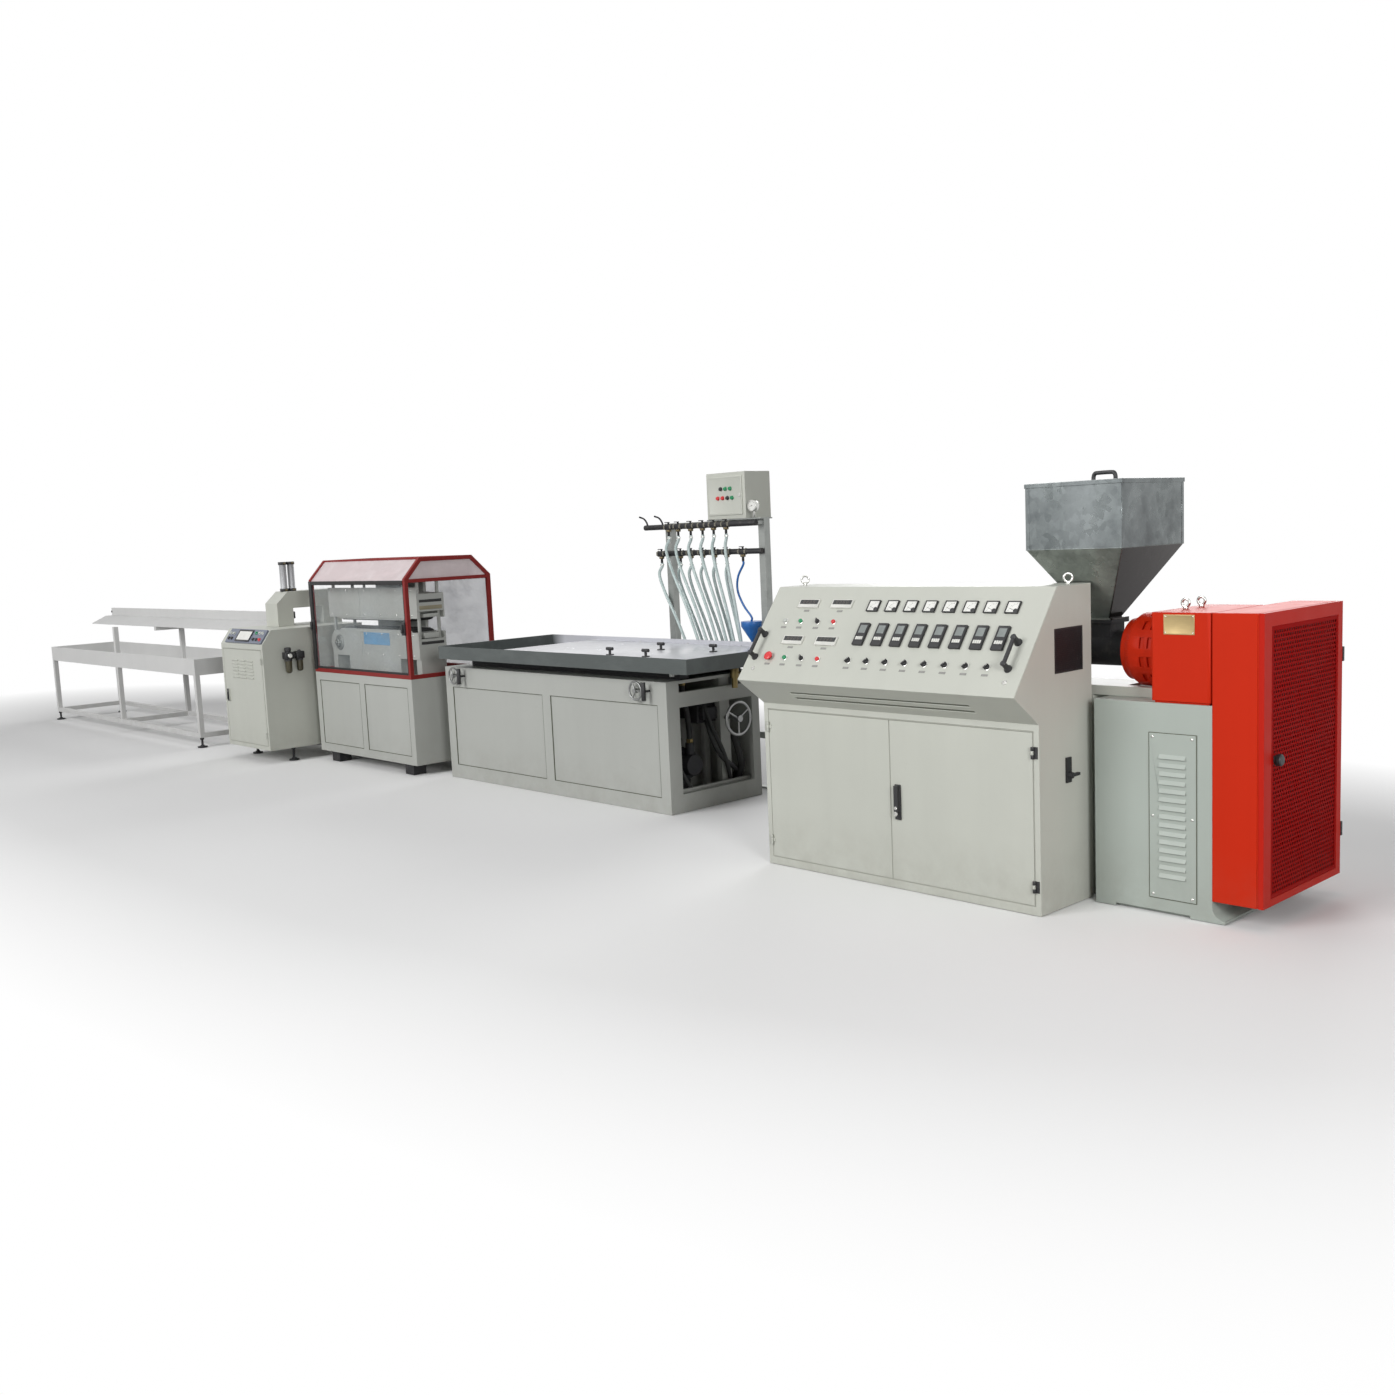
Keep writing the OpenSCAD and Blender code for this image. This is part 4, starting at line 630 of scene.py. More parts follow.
RACK_END = -3.124
UPPER_HOSES = [RACK_END - d for d in (0.768, 0.678, 0.561, 0.452, 0.352, 0.242)]
LOWER_HOSES = [RACK_END - d for d in (0.896, 0.714, 0.614, 0.506, 0.397, 0.288)]
BLUE_HOSE = RACK_END - 0.148
HOSE_SHAPE = [(0, 0), (0, 0.025), (-0.032, 0.090), (0.020, 0.230), (0.150, 0.480), (0.290, 0.800)]
UPPER_LEAN = (1.0, 0.95, 0.85, 0.75, 0.6, 0.4)
LOWER_LEAN = (0.95, 0.85, 0.8, 0.75, 0.6, 0.45)
BLUE_SHAPE = [(0, 0), (0, 0.020), (-0.050, 0.095), (-0.058, 0.180), (-0.012, 0.270), (0.052, 0.340),
              (0.052, 0.367)]
LOWER_SHARE = 0.85
UPPER_PIPE = (0.7837, 1.628)
LOWER_PIPE = (0.8277, 1.457)
NOZZLE = 0.0603
HOSE_D = 0.020
BLUE_D = 0.014
TAIL_IN = 0.018
VALVES = [(x, UPPER_PIPE) for x in UPPER_HOSES] + [(x, LOWER_PIPE) for x in LOWER_HOSES]


def smooth_route(points, steps=6):
    """Points of a smooth curve through the route, several to each stretch."""
    points = [Vector(p) for p in points]
    ends = [points[0] * 2 - points[1], *points, points[-1] * 2 - points[-2]]
    route = []
    for a, b, c, d in zip(ends, ends[1:], ends[2:], ends[3:]):
        for i in range(steps):
            t = i / steps
            route.append(0.5 * (2 * b + (c - a) * t + (2 * a - 5 * b + 4 * c - d) * t ** 2
                                + (3 * b - a - 3 * c + d) * t ** 3))
    return route + [points[-1].copy()]


def run_length(route):
    return sum((b - a).length for a, b in zip(route, route[1:]))


def hose(name, route, diameter, slot):
    """Soft tube of one open spline along the route."""
    made = round_line(name, route, diameter / 2, 4)
    made.data.materials.append(finish_of[slot])
    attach(made, "line")
    return made


def hang_hoses():
    """Twelve milky hoses, each with a brass tail at its lower end, and the blue one with its funnel."""
    tail = turned([(0, 0.0075), (0.006, 0.0085), (0.020, 0.0085), (0.021, 0.0125), (0.032, 0.0125),
                   (0.033, 0.0100), (0.040, 0.0092)], 12)
    n = 0
    for places, leans, (y, z), share in ((UPPER_HOSES, UPPER_LEAN, UPPER_PIPE, 1.0),
                                         (LOWER_HOSES, LOWER_LEAN, LOWER_PIPE, LOWER_SHARE)):
        for x, lean in zip(places, leans):
            n += 1
            top = z - NOZZLE
            route = smooth_route([(x + dx * lean, y, top - drop * share) for dx, drop in HOSE_SHAPE])
            made = hose("hose_%02d" % n, route, HOSE_D, "clear_hose")
            way = route[-1] - route[-2]
            end = copy_at(tail, along_way(route[-1] - way.normalized() * TAIL_IN, way))
            done(end, "hose_tail_%02d" % n, "brass")
            if n == 1:
                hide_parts("hoses")
            run_length(route)
    bpy.data.objects.remove(tail)
    y, z = LOWER_PIPE
    route = smooth_route([(BLUE_HOSE + dx, y, z - NOZZLE - drop) for dx, drop in BLUE_SHAPE])
    made = hose("blue_hose", route, BLUE_D, "blue_plastic")
    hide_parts("funnel_hose")
    run_length(route)


hang_hoses()


# Console, instrument panel

PANEL_FOOT = Vector((0, -0.719, 0.900))
PANEL_TILT = math.atan2(0.410, 0.310)
PANEL_RUN = math.hypot(0.410, 0.310)
CONSOLE_END = -0.300
CONSOLE_W = 1.500


def on_panel(across, up):
    """Place on the sloped panel, by shares of its width and height."""
    return (Matrix.Translation(PANEL_FOOT) @ Matrix.Rotation(PANEL_TILT, 4, "X")
            @ Matrix.Translation((CONSOLE_END - across * CONSOLE_W, up * PANEL_RUN, 0)))


METERS = [0.584 - 0.0683 * i for i in range(8)]
LAMPS = (0.906, 0.843, 0.775, 0.711)
HIGH_ROW, LOW_ROW = 0.630, 0.250
SWITCHES = [x + 0.008 for x in METERS]
METER_HUB = (0.018, -0.017, 0)
DISPLAYS = [(x, v) for x in (0.841, 0.708) for v in (0.432, 0.815)]


def square_meters():
    """Eight needle meters: black bezel, white dial with a scale, needle and corner cover."""
    rows = [on_panel(x, 0.798) for x in METERS]
    bezel = framed((-0.0305, -0.0285, 0.0003), (0.0305, 0.0285, 0.010), 0.0038, 0.004, (0, 0, 1), 0.001)
    done(copies(bezel, rows), "meter_bezels", "black_plastic", stands_for=("panel_meters",))
    dial = block((-0.0268, -0.0248, 0.0055), (0.0268, 0.0248, 0.0066), 0.0004, 1)
    done(copies(dial, rows), "meter_dials", "pale_plastic", dial_white)
    bars = [spun((-0.0005, 0.031, 0.0066), (0.0005, 0.034 if i % 2 else 0.037, 0.0070), 0.0001,
                 2 + 11 * i, METER_HUB) for i in range(9)]
    bars.append(spun((-0.0006, 0.0, 0.0072), (0.0006, 0.034, 0.0078), 0.0002, 70, METER_HUB))
    cover = turned([(0.0066, 0.0095), (0.0084, 0.0095), (0.0090, 0.0085)], 20, METER_HUB)
    done(copies(joined(bars + [cover]), rows), "meter_needles", "black_plastic")


def digit_displays():
    """Four pale counters with a dark window and four dim figures each."""
    rows = [on_panel(x, v) for x, v in DISPLAYS]
    case = framed((-0.060, -0.022, 0.0003), (0.060, 0.022, 0.009), 0.003, 0.0015, (0, 0, 1), 0.001)
    done(copies(case, rows), "counter_cases", "pale_plastic")
    window = block((-0.054, -0.004, 0.0073), (0.054, 0.0185, 0.0090), 0.0008, 1)
    done(copies(window, rows), "counter_windows", "black_plastic", dark_glass)
    strokes = []
    for i in range(4):
        x = -0.030 + 0.020 * i
        for across, low, wide, tall in ((0, 0.0140, 0.008, 0.0012), (0, 0.0070, 0.008, 0.0012),
                                        (0, 0.0000, 0.008, 0.0012), (-0.0045, 0.0035, 0.0012, 0.006),
                                        (0.0045, 0.0035, 0.0012, 0.006), (-0.0045, 0.0105, 0.0012, 0.006),
                                        (0.0045, 0.0105, 0.0012, 0.006)):
            strokes.append(block((x + across - wide / 2, low - tall / 2, 0.0089),
                                 (x + across + wide / 2, low + tall / 2, 0.0093), 0.0002, 1))
    done(copies(joined(strokes), rows), "counter_figures", "pale_plastic", dim_figure)


def heat_controllers():
    """Eight tall black controllers with a grey screen and a row of keys."""
    rows = [on_panel(x, 0.512) for x in METERS]
    case = framed((-0.027, -0.056, 0.0003), (0.027, 0.056, 0.012), 0.0035, 0.0015, (0, 0, 1), 0.0012)
    done(copies(case, rows), "controller_cases", "black_plastic", stands_for=("temperature_controllers",))
    screen = block((-0.0185, 0.004, 0.0100), (0.0185, 0.044, 0.0118), 0.0012, 2)
    done(copies(screen, rows), "controller_screens", "pale_plastic", grey_screen)
    keys = [block((x - 0.0042, -0.030, 0.0100), (x + 0.0042, -0.014, 0.0125), 0.001, 2)
            for x in (-0.0150, -0.0050, 0.0050, 0.0150)]
    done(copies(joined(keys), rows), "controller_keys", "pale_plastic")


def panel_buttons():
    """Lamps, push buttons, rotary switches and locks of the panel, with bare label plates."""
    collar = turned([(0.0003, 0.0140), (0.003, 0.0140), (0.004, 0.0125), (0.004, 0.0105)], 24)
    collars = [on_panel(x, v) for x in LAMPS for v in (HIGH_ROW, LOW_ROW)]
    collars += [on_panel(x, LOW_ROW) for x in SWITCHES]
    done(copies(collar, collars), "switch_collars", "bright_steel", stands_for=("panel_switches",))
    cap = [(0.003, 0.0100), (0.010, 0.0100), (0.0125, 0.0085), (0.0135, 0.0050)]
    tinted_caps(cap, on_panel, (
        ("lamps_grey", lamp_grey, [(LAMPS[0], HIGH_ROW)]),
        ("lamps_green", lamp_green, [(LAMPS[1], HIGH_ROW), (LAMPS[1], LOW_ROW)]),
        ("lamps_red", lamp_red, [(LAMPS[3], HIGH_ROW), (LAMPS[3], LOW_ROW)])))
    stop = turned([(0.003, 0.0090), (0.012, 0.0090), (0.013, 0.0205), (0.018, 0.0215), (0.021, 0.0185),
                   (0.0225, 0.0100)], 28)
    done(copies(stop, [on_panel(LAMPS[0], LOW_ROW)]), "stop_button", "pale_plastic", lamp_red)
    knob = turned([(0.003, 0.0115), (0.006, 0.0115), (0.012, 0.0095), (0.0125, 0.0080)], 20)
    grip = block((-0.0035, -0.0130, 0.004), (0.0035, 0.0130, 0.0195), 0.0015, 2)
    turns = [on_panel(x, LOW_ROW) @ Matrix.Rotation(math.radians(-35), 4, "Z") for x in SWITCHES]
    turns += [on_panel(LAMPS[2], v) @ Matrix.Rotation(math.radians(30), 4, "Z") for v in (HIGH_ROW, LOW_ROW)]
    done(copies(joined([knob, grip]), turns), "switch_knobs", "black_plastic")
    pointer = block((-0.0008, 0.0020, 0.0195), (0.0008, 0.0125, 0.0199), 0.0002, 1)
    done(copies(pointer, turns), "switch_pointers", "pale_plastic")
    plate = block((-0.016, -0.005, 0.0003), (0.016, 0.005, 0.0015), 0.0005, 1)
    plates = [on_panel(x, v - 0.062) for x in LAMPS for v in (HIGH_ROW, LOW_ROW - 0.005)]
    plates += [on_panel(x, LOW_ROW - 0.067) for x in SWITCHES]
    plates += [on_panel(x, v - 0.070) for x, v in DISPLAYS]
    done(copies(plate, plates), "label_plates", "grey_paint", label_grey)
    lock = turned([(0.0003, 0.0105), (0.003, 0.0105), (0.0045, 0.0090), (0.0045, 0.0060), (0.0030, 0.0055)],
                  20)
    slit = block((-0.0045, -0.0009, 0.0028), (0.0045, 0.0009, 0.0042), 0.0003, 1)
    places = [on_panel(x, 0.128) for x in (0.955, 0.044)]
    done(copies(joined([lock, slit]), places), "panel_locks", "bright_steel")


def pull_handles():
    """Two black pulls on the panel and one on the hopper lid: flared feet and a round grip."""
    foot = [(0.0003, 0.0175), (0.006, 0.0165), (0.014, 0.0115), (0.034, 0.0105), (0.046, 0.0125),
            (0.050, 0.0090)]
    feet = [turned(foot, 18, (x, 0, 0)) for x in (-0.061, 0.061)]
    grip = rod((-0.066, 0, 0.040), (0.066, 0, 0.040), 0.0085, 16)
    pulls = [on_panel(x, 0.366) @ Matrix.Rotation(math.pi / 2, 4, "Z") for x in (0.968, 0.049)]
    done(copies(joined(feet + [grip]), pulls), "panel_pulls", "black_plastic", stands_for=("bow_handles",))
    half = [(0.050, 0), (0.050, 0.018), (0.044, 0.031), (0.030, 0.034)]
    way = [(-x, 0, z) for x, z in half] + [(x, 0, z) for x, z in reversed(half)]
    bow = tube_along(smooth_route(way, 4), 0.0088, 16)
    pads = [turned([(0, 0.014), (0.003, 0.014), (0.005, 0.011)], 16, (x, 0, 0)) for x in (-0.050, 0.050)]
    done(copies(joined([bow] + pads), [(-0.325, 0, 1.7203)]), "lid_pull", "black_plastic")


square_meters()
digit_displays()
heat_controllers()
panel_buttons()
pull_handles()


# Sheets with holes

def hex_sheet(across, tall, pitch, hole, thick):
    """Flat sheet of six-sided holes: one ring drawn out, arrayed both ways and given its thickness."""
    begin()
    bpy.ops.mesh.primitive_circle_add(vertices=6, radius=hole)
    ring = bpy.context.object
    shape(ring)
    bpy.ops.mesh.select_all(action="SELECT")
    bpy.ops.mesh.extrude_edges_move()
    bpy.ops.transform.resize(value=(pitch / math.sqrt(3) / hole,) * 3, center_override=(0, 0, 0))
    begin()
    row = pitch * math.sqrt(3)
    sheet = copies(ring, [(0, 0, 0), (pitch / 2, row / 2, 0)])
    for count, step in ((int(across / pitch), (pitch, 0, 0)), (int(tall / row), (0, row, 0))):
        carry_out(sheet, "ARRAY", use_relative_offset=False, use_constant_offset=True,
                  constant_offset_displace=step, count=count)
    shape(sheet)
    bpy.ops.mesh.select_all(action="SELECT")
    bpy.ops.mesh.remove_doubles(threshold=pitch * 0.01)
    face_out()
    carry_out(sheet, "SOLIDIFY", thickness=thick, offset=0.0)
    box = [Vector(c) for c in sheet.bound_box]
    sheet.matrix_world = Matrix.Translation(-(box[0] + box[6]) / 2)
    return settle(sheet)


FACING_DRIVE = Matrix(((0, 0, 1, 0), (1, 0, 0, 0), (0, 1, 0, 0), (0, 0, 0, 1)))
FACING_FRONT = Matrix(((1, 0, 0, 0), (0, 0, -1, 0), (0, 1, 0, 0), (0, 0, 0, 1)))


def front_at(x, y, z):
    """Place whose own Z looks to the front."""
    return Matrix.Translation((x, y, z)) @ FACING_FRONT


def screw_heads(places, radius, name, body="line"):
    """Pan heads, the screw's axis along each place's own Z."""
    head = turned([(0.0, radius), (radius * 0.25, radius), (radius * 0.5, radius * 0.78),
                   (radius * 0.58, radius * 0.3)], 14)
    done(copies(head, places), name, "bright_steel", body=body)


# Extruder

def guard_screen():
    """Perforated sheet of the guard's door with its border, knob and hinge caps, and the lip round it."""
    sheet = hex_sheet(0.580, 1.020, 0.020, 0.0068, 0.0012)
    sheet.matrix_world = Matrix.Translation((0.4466, 0.1365, 0.6295)) @ FACING_DRIVE
    settle(sheet)
    rims = edge_strips((-0.1605, 0.4335), (0.1135, 1.1455), (0.4455, 0.4485), 0.016, front=False)
    done(joined([sheet] + rims), "guard_screen", "dark_red_paint", screen_red, "guard_door")
    knob = turned([(0.0, 0.0268), (0.0068, 0.0268), (0.009, 0.0195), (0.015, 0.0190), (0.019, 0.0230),
                   (0.031, 0.0230), (0.035, 0.0190), (0.0358, 0.008)], 24,
                  (0.4378, -0.120, 0.6415), (1, 0, 0))
    done(knob, "guard_knob", "black_plastic", body="guard_door")
    caps = [block((0.4305, 0.4745, z - 0.030), (0.4535, 0.4890, z + 0.030), 0.003, 2) for z in (0.270, 0.985)]
    done(joined(caps), "guard_hinge_caps", "black_plastic", body="guard_door")
    lips = [block((0.4245, -0.2245, 0.0870), (0.4292, -0.2150, 1.1960), 0.0008, 1),
            block((0.4245, -0.2150, 1.1860), (0.4292, 0.4400, 1.1960), 0.0008, 1)]
    done(joined(lips), "guard_lip", "red_paint")


def gearbox_plate():
    """Bare plate on the gearbox with a rivet in each corner, and the base panel's screws and a dark edge of
    painted shade.
    """
    plate = framed((0.055, -0.2278, 1.113), (0.181, -0.2262, 1.190), 0.004, 0.0004, (0, -1, 0), 0.0003)
    done(plate, "gearbox_plate", "grey_paint", plate_metal)
    corners = [front_at(x, -0.2276, z) for x in (0.062, 0.174) for z in (1.120, 1.183)]
    screw_heads(corners, 0.0028, "plate_rivets")
    corners = [front_at(x, -0.2300, z) for x in (0.008, 0.172) for z in (0.080, 0.395, 0.710)]
    screw_heads(corners, 0.0055, "louvre_screws")
    # Painted shade: dark strips round the base panel stand in for the shade at its edge.
    edge = edge_strips((-0.0100, 0.1900), (0.0620, 0.7280), (-0.2290, -0.2255), 0.003, 0.0005)
    done(joined(edge), "louvre_edge", "grey_paint", shade_strip_dark)


def hopper_seams():
    """Folded seams at the hopper's corners and the rolled edge under its box."""
    west, east, front, back, top = -0.543, -0.107, -0.248, 0.248, 1.7010
    half, thin = 0.009, 0.0012
    folds = [(x, y, half, thin) for x in (west + half, east - half) for y in (front, back)]
    folds += [(x, y, thin, half) for x in (west, east) for y in (front + half, back - half)]
    seams = [block((x - dx, y - dy, HOPPER_FOLD), (x + dx, y + dy, top), 0.0005, 1) for x, y, dx, dy in folds]
    for a, b in (((west, front), (east, front)), ((west, back), (east, back)), ((west, front), (west, back)),
                 ((east, front), (east, back))):
        seams.append(rod((*a, HOPPER_FOLD), (*b, HOPPER_FOLD), 0.0022, 8))
    done(joined(seams), "hopper_seams", "galvanised")


guard_screen()
gearbox_plate()
hopper_seams()


# Console, end and doors

HANDLE_BODY = "console_door_right"
CONSOLE_FACE = -0.550
CUTTER_DOOR_FACE = -0.590
SEAL_IN, SEAL_BACK = 0.0025, 0.0150


def side_grille():
    """Black grille in the end of the console, with a backing sheet."""
    mesh = hex_sheet(0.205, 0.176, 0.009, 0.0036, 0.0012)
    mesh.matrix_world = Matrix.Translation((-0.3012, -0.3265, 1.0525)) @ FACING_DRIVE
    across, up = (-0.4298, -0.2232), (0.9632, 1.1418)
    back = block((-0.3058, across[0], up[0]), (-0.3045, across[1], up[1]), 0.0003, 1)
    rims = edge_strips(across, up, (-0.3050, -0.2995), 0.007, 0.0005, front=False)
    done(joined([settle(mesh), back] + rims), "side_grille", "black_plastic")


def console_locks():
    """Lock barrel of the console's swing handle and a turn button over it."""
    lock = turned([(0.0, 0.0105), (0.003, 0.0105), (0.0045, 0.0090), (0.0045, 0.0060), (0.0030, 0.0055)], 20,
                  (-1.008, -0.5715, 0.337), (0, -1, 0))
    catch = turned([(0.0, 0.0080), (0.002, 0.0080), (0.004, 0.0060)], 16,
                   (-1.008, -0.5715, 0.362), (0, -1, 0))
    done(joined([lock, catch]), "handle_lock", "bright_steel", body=HANDLE_BODY)


def door_seals():
    """Pale strips in the gaps round the doors of console and cutter, and a lip on the left door's edge."""
    strips = []
    for across, up, face in (((-1.775, -0.325), (0.035, 0.748), CONSOLE_FACE),
                             ((-7.620, -6.965), (0.130, 0.860), CUTTER_DOOR_FACE)):
        strips += edge_strips(across, up, (face + SEAL_IN, face + SEAL_BACK), 0.0050)
    done(joined(strips), "door_seals", "grey_paint", seal_pale)
    lip = block((-1.0545, CONSOLE_FACE + SEAL_IN, 0.0415),
                (-1.0480, CONSOLE_FACE + SEAL_BACK, 0.7415), 0.0006, 1)
    done(lip, "door_lip", "grey_paint", seal_pale, "console_door_left")


def desk_slots():
    """Dark strips of painted shade on the floors of the two long slots under the console's desk."""
    out, rise = 0.169, 0.125
    run = math.hypot(out, rise)
    slope = (Matrix.Translation((-1.5405, CONSOLE_FACE, 0.775))
             @ Matrix.Rotation(math.atan2(rise, -out), 4, "X"))
    floor = block((0.001, -0.0085, -0.0045), (0.9785, 0.0085, -0.0030), 0.0005, 1)
    places = [slope @ Matrix.Translation((0, share * run, 0)) for share in (0.32, 0.55)]
    done(copies(floor, places), "desk_slots", "grey_paint", shade_strip_dark)


side_grille()
console_locks()
door_seals()
desk_slots()


# Calibrating table

def stiff_hoses(name, rows):
    """Black hoses that keep their bends: the points of a route and a radius for each."""
    lines = [tube_along(smooth_route(way, 5), radius, 12) for way, radius in rows]
    done(joined(lines), name, "black_rubber")


def tray_deck():
    """White sheet on the deck of the tray, with the screws along its edges."""
    sheet = block((-4.6690, -0.1935, 0.8822), (-2.7165, 0.7485, 0.8845), 0.0008, 2)
    done(sheet, "tray_deck", "pale_plastic", deck_white)
    places = [Matrix.Translation((x, y, 0.8843))
              for x in (-4.64, -4.16, -3.70, -3.22, -2.75) for y in (-0.172, 0.727)]
    screw_heads(places, 0.007, "deck_screws")


def motor_detail():
    """Ribs, terminal box and fan cover of the pump's motor, and the pump's three black hoses."""
    rib = block((-3.418, -0.0022, 0.083), (-3.262, 0.0022, 0.096), 0.0006, 1)
    ribs = [Matrix.Translation((0, 0.230, 0.230)) @ Matrix.Rotation(math.radians(-125 + 250 * i / 25), 4, "X")
            for i in range(26)]
    box = framed((-3.395, 0.185, 0.322), (-3.300, 0.275, 0.372), 0.006, 0.002, (0, 0, 1), 0.002)
    cover = turned([(0, 0.070), (0.010, 0.085), (0.040, 0.090), (0.046, 0.088)], 28,
                   (-3.4420, 0.230, 0.230), (1, 0, 0))
    done(joined([copies(rib, ribs), box, cover]), "motor_detail", "black_iron")
    stiff_hoses("pump_hoses", (
        ([(-3.182, 0.230, 0.352), (-3.182, 0.230, 0.430), (-3.150, 0.190, 0.540), (-3.110, 0.130, 0.650),
          (-3.105, 0.120, 0.742)], 0.017),
        ([(-3.300, 0.160, 0.345), (-3.230, 0.100, 0.360), (-3.120, 0.060, 0.280), (-3.075, 0.110, 0.140),
          (-3.095, 0.200, 0.060), (-3.160, 0.300, 0.034)], 0.013),
        ([(-3.130, 0.300, 0.600), (-3.085, 0.330, 0.440), (-3.070, 0.400, 0.280), (-3.100, 0.470, 0.120),
          (-3.170, 0.500, 0.036)], 0.013)))
    sleeve = [turned([(0, 0.019), (0.003, 0.0205), (0.022, 0.0205), (0.025, 0.019)], 6, at) for at in (
        (-3.182, 0.230, 0.358), (-3.105, 0.120, 0.714))]
    done(joined(sleeve), "hose_nuts", "brass")


def end_gear():
    """What shows in the table's open end: back plate, lift block, thick hoses and a floor rail."""
    plate = framed((-3.466, 0.030, 0.030), (-3.458, 0.600, 0.620), 0.025, 0.0015, (1, 0, 0), 0.001)
    rail = block((-3.078, 0.040, 0.098), (-3.056, 0.610, 0.122), 0.003, 2)
    post = block((-3.300, 0.430, 0.030), (-3.262, 0.470, 0.470), 0.003, 2)
    done(joined([plate, rail, post]), "end_plate", "grey_paint", shop_grey)
    lift = joined([block((-3.458, 0.285, 0.488), (-3.115, 0.402, 0.562), 0.008, 2),
                   block((-3.240, 0.270, 0.470), (-3.150, 0.424, 0.580), 0.006, 2)])
    done(lift, "lift_block", "black_iron")
    stiff_hoses("end_hoses", (
        ([(-3.150, 0.335, 0.500), (-3.100, 0.318, 0.420), (-3.082, 0.345, 0.330), (-3.080, 0.400, 0.255),
          (-3.084, 0.480, 0.195), (-3.130, 0.555, 0.150), (-3.200, 0.570, 0.070)], 0.014),
        ([(-3.175, 0.525, 0.400), (-3.105, 0.525, 0.355), (-3.082, 0.545, 0.240), (-3.100, 0.565, 0.170),
          (-3.160, 0.570, 0.050)], 0.021)))


def panel_lines():
    """Dark strips of painted shade round the sunk panels of the table and the haul-off."""
    strips = []
    for panels, up, deep in ((((-5.180, -4.176), (-4.096, -3.092)), (0.090, 0.625), (-0.0855, -0.0790)),
                             (((-6.771, -6.185), (-6.115, -5.529)), (0.131, 0.611), (-0.2295, -0.2240))):
        for across in panels:
            strips += edge_strips(across, up, deep, 0.004)
    done(joined(strips), "panel_lines", "grey_paint", shade_strip_dark)


tray_deck()
motor_detail()
end_gear()
panel_lines()


# Hose rack

BOX_FACE = 0.8052


def box_front():
    """Door of the rack's box with its buttons and a lock."""
    door = framed((-3.532, 0.8035, 1.682), (-3.238, 0.8098, 1.918), 0.010, 0.0015, (0, -1, 0), 0.0012)
    done(door, "box_door", "grey_paint")
    button = [(0.0, 0.0130), (0.002, 0.0130), (0.004, 0.0110), (0.011, 0.0105), (0.0135, 0.0080)]
    tinted_caps(button, lambda x, z: front_at(x, BOX_FACE, z), (
        ("box_buttons_dark", finish_of["black_plastic"], [(-3.418, 1.842), (-3.362, 1.786)]),
        ("box_buttons_green", lamp_green, [(-3.378, 1.842), (-3.336, 1.842), (-3.322, 1.786)]),
        ("box_buttons_red", lamp_red, [(-3.446, 1.786), (-3.404, 1.786)])))
    lock = turned([(0.0, 0.0090), (0.003, 0.0090), (0.0045, 0.0075), (0.0045, 0.0050), (0.003, 0.0045)], 18)
    done(copies(lock, [front_at(-3.258, BOX_FACE, 1.800)]), "box_lock", "bright_steel")


def gauge_face():
    """Rim, white dial, marks and needle of the gauge."""
    at = front_at(-3.154, 0.8040, 1.7300)
    rim = turned([(0.0, 0.0345), (0.005, 0.0345), (0.0065, 0.0330), (0.0065, 0.0300), (0.0015, 0.0295)], 36)
    done(copies(rim, [at]), "gauge_rim", "bright_steel")
    dial = turned([(0.0016, 0.0292), (0.0024, 0.0292), (0.0026, 0.0286)], 36)
    done(copies(dial, [at]), "gauge_dial", "pale_plastic", dial_white)
    bars = [spun((-0.0005, 0.0215, 0.0025), (0.0005, 0.0265, 0.0029), 0.0001, 135 - 22.5 * i)
            for i in range(13)]
    bars.append(spun((-0.0008, -0.007, 0.0030), (0.0008, 0.0215, 0.0036), 0.0002, 100))
    hub = turned([(0.0026, 0.0030), (0.0042, 0.0030), (0.0046, 0.0022)], 14)
    done(copies(joined(bars + [hub]), [at]), "gauge_needle", "black_plastic")


def valve_detail():
    """Clamp on the head of each hose, nuts of the valves, sleeves on the pipes and two curved levers."""
    clamp = turned([(0.0, 0.0106), (0.0010, 0.0120), (0.0100, 0.0120), (0.0110, 0.0106)], 18)
    screw = block((0.0095, -0.0045, 0.0015), (0.0165, 0.0045, 0.0095), 0.001, 1)
    places = [(x, y, z - NOZZLE - 0.017) for x, (y, z) in VALVES]
    done(copies(joined([clamp, screw]), places), "hose_clamps", "bright_steel")
    valves = VALVES + [(BLUE_HOSE, LOWER_PIPE)]
    nut = turned([(0.0, 0.0155), (0.004, 0.0175), (0.012, 0.0175), (0.016, 0.0155)], 6)
    done(copies(nut, [(x, y, z - 0.034) for x, (y, z) in valves]), "valve_nuts", "brass", dull_brass)
    sleeve = turned([(-0.007, 0.0180), (-0.005, 0.0202), (0.005, 0.0202), (0.007, 0.0180)], 6,
                    along=(1, 0, 0))
    pipes = [(x + dx, *pipe) for x, pipe in valves for dx in (-0.028, 0.028)]
    done(copies(sleeve, pipes), "pipe_sleeves", "plain_steel", sleeve_grey)
    y, z = UPPER_PIPE
    bends = ((0.0, 0.0, 0.004), (-0.004, -0.002, 0.030), (-0.024, -0.008, 0.058), (-0.062, -0.014, 0.072))
    levers = [tube_along(smooth_route([(x + a, y + b, z + c) for a, b, c in bends], 5), 0.006, 10)
              for x in (RACK_END - 0.842 - 0.128, RACK_END - 0.842 + 0.020)]
    done(joined(levers), "pipe_levers", "black_iron")


box_front()
gauge_face()
valve_detail()


# Haul-off

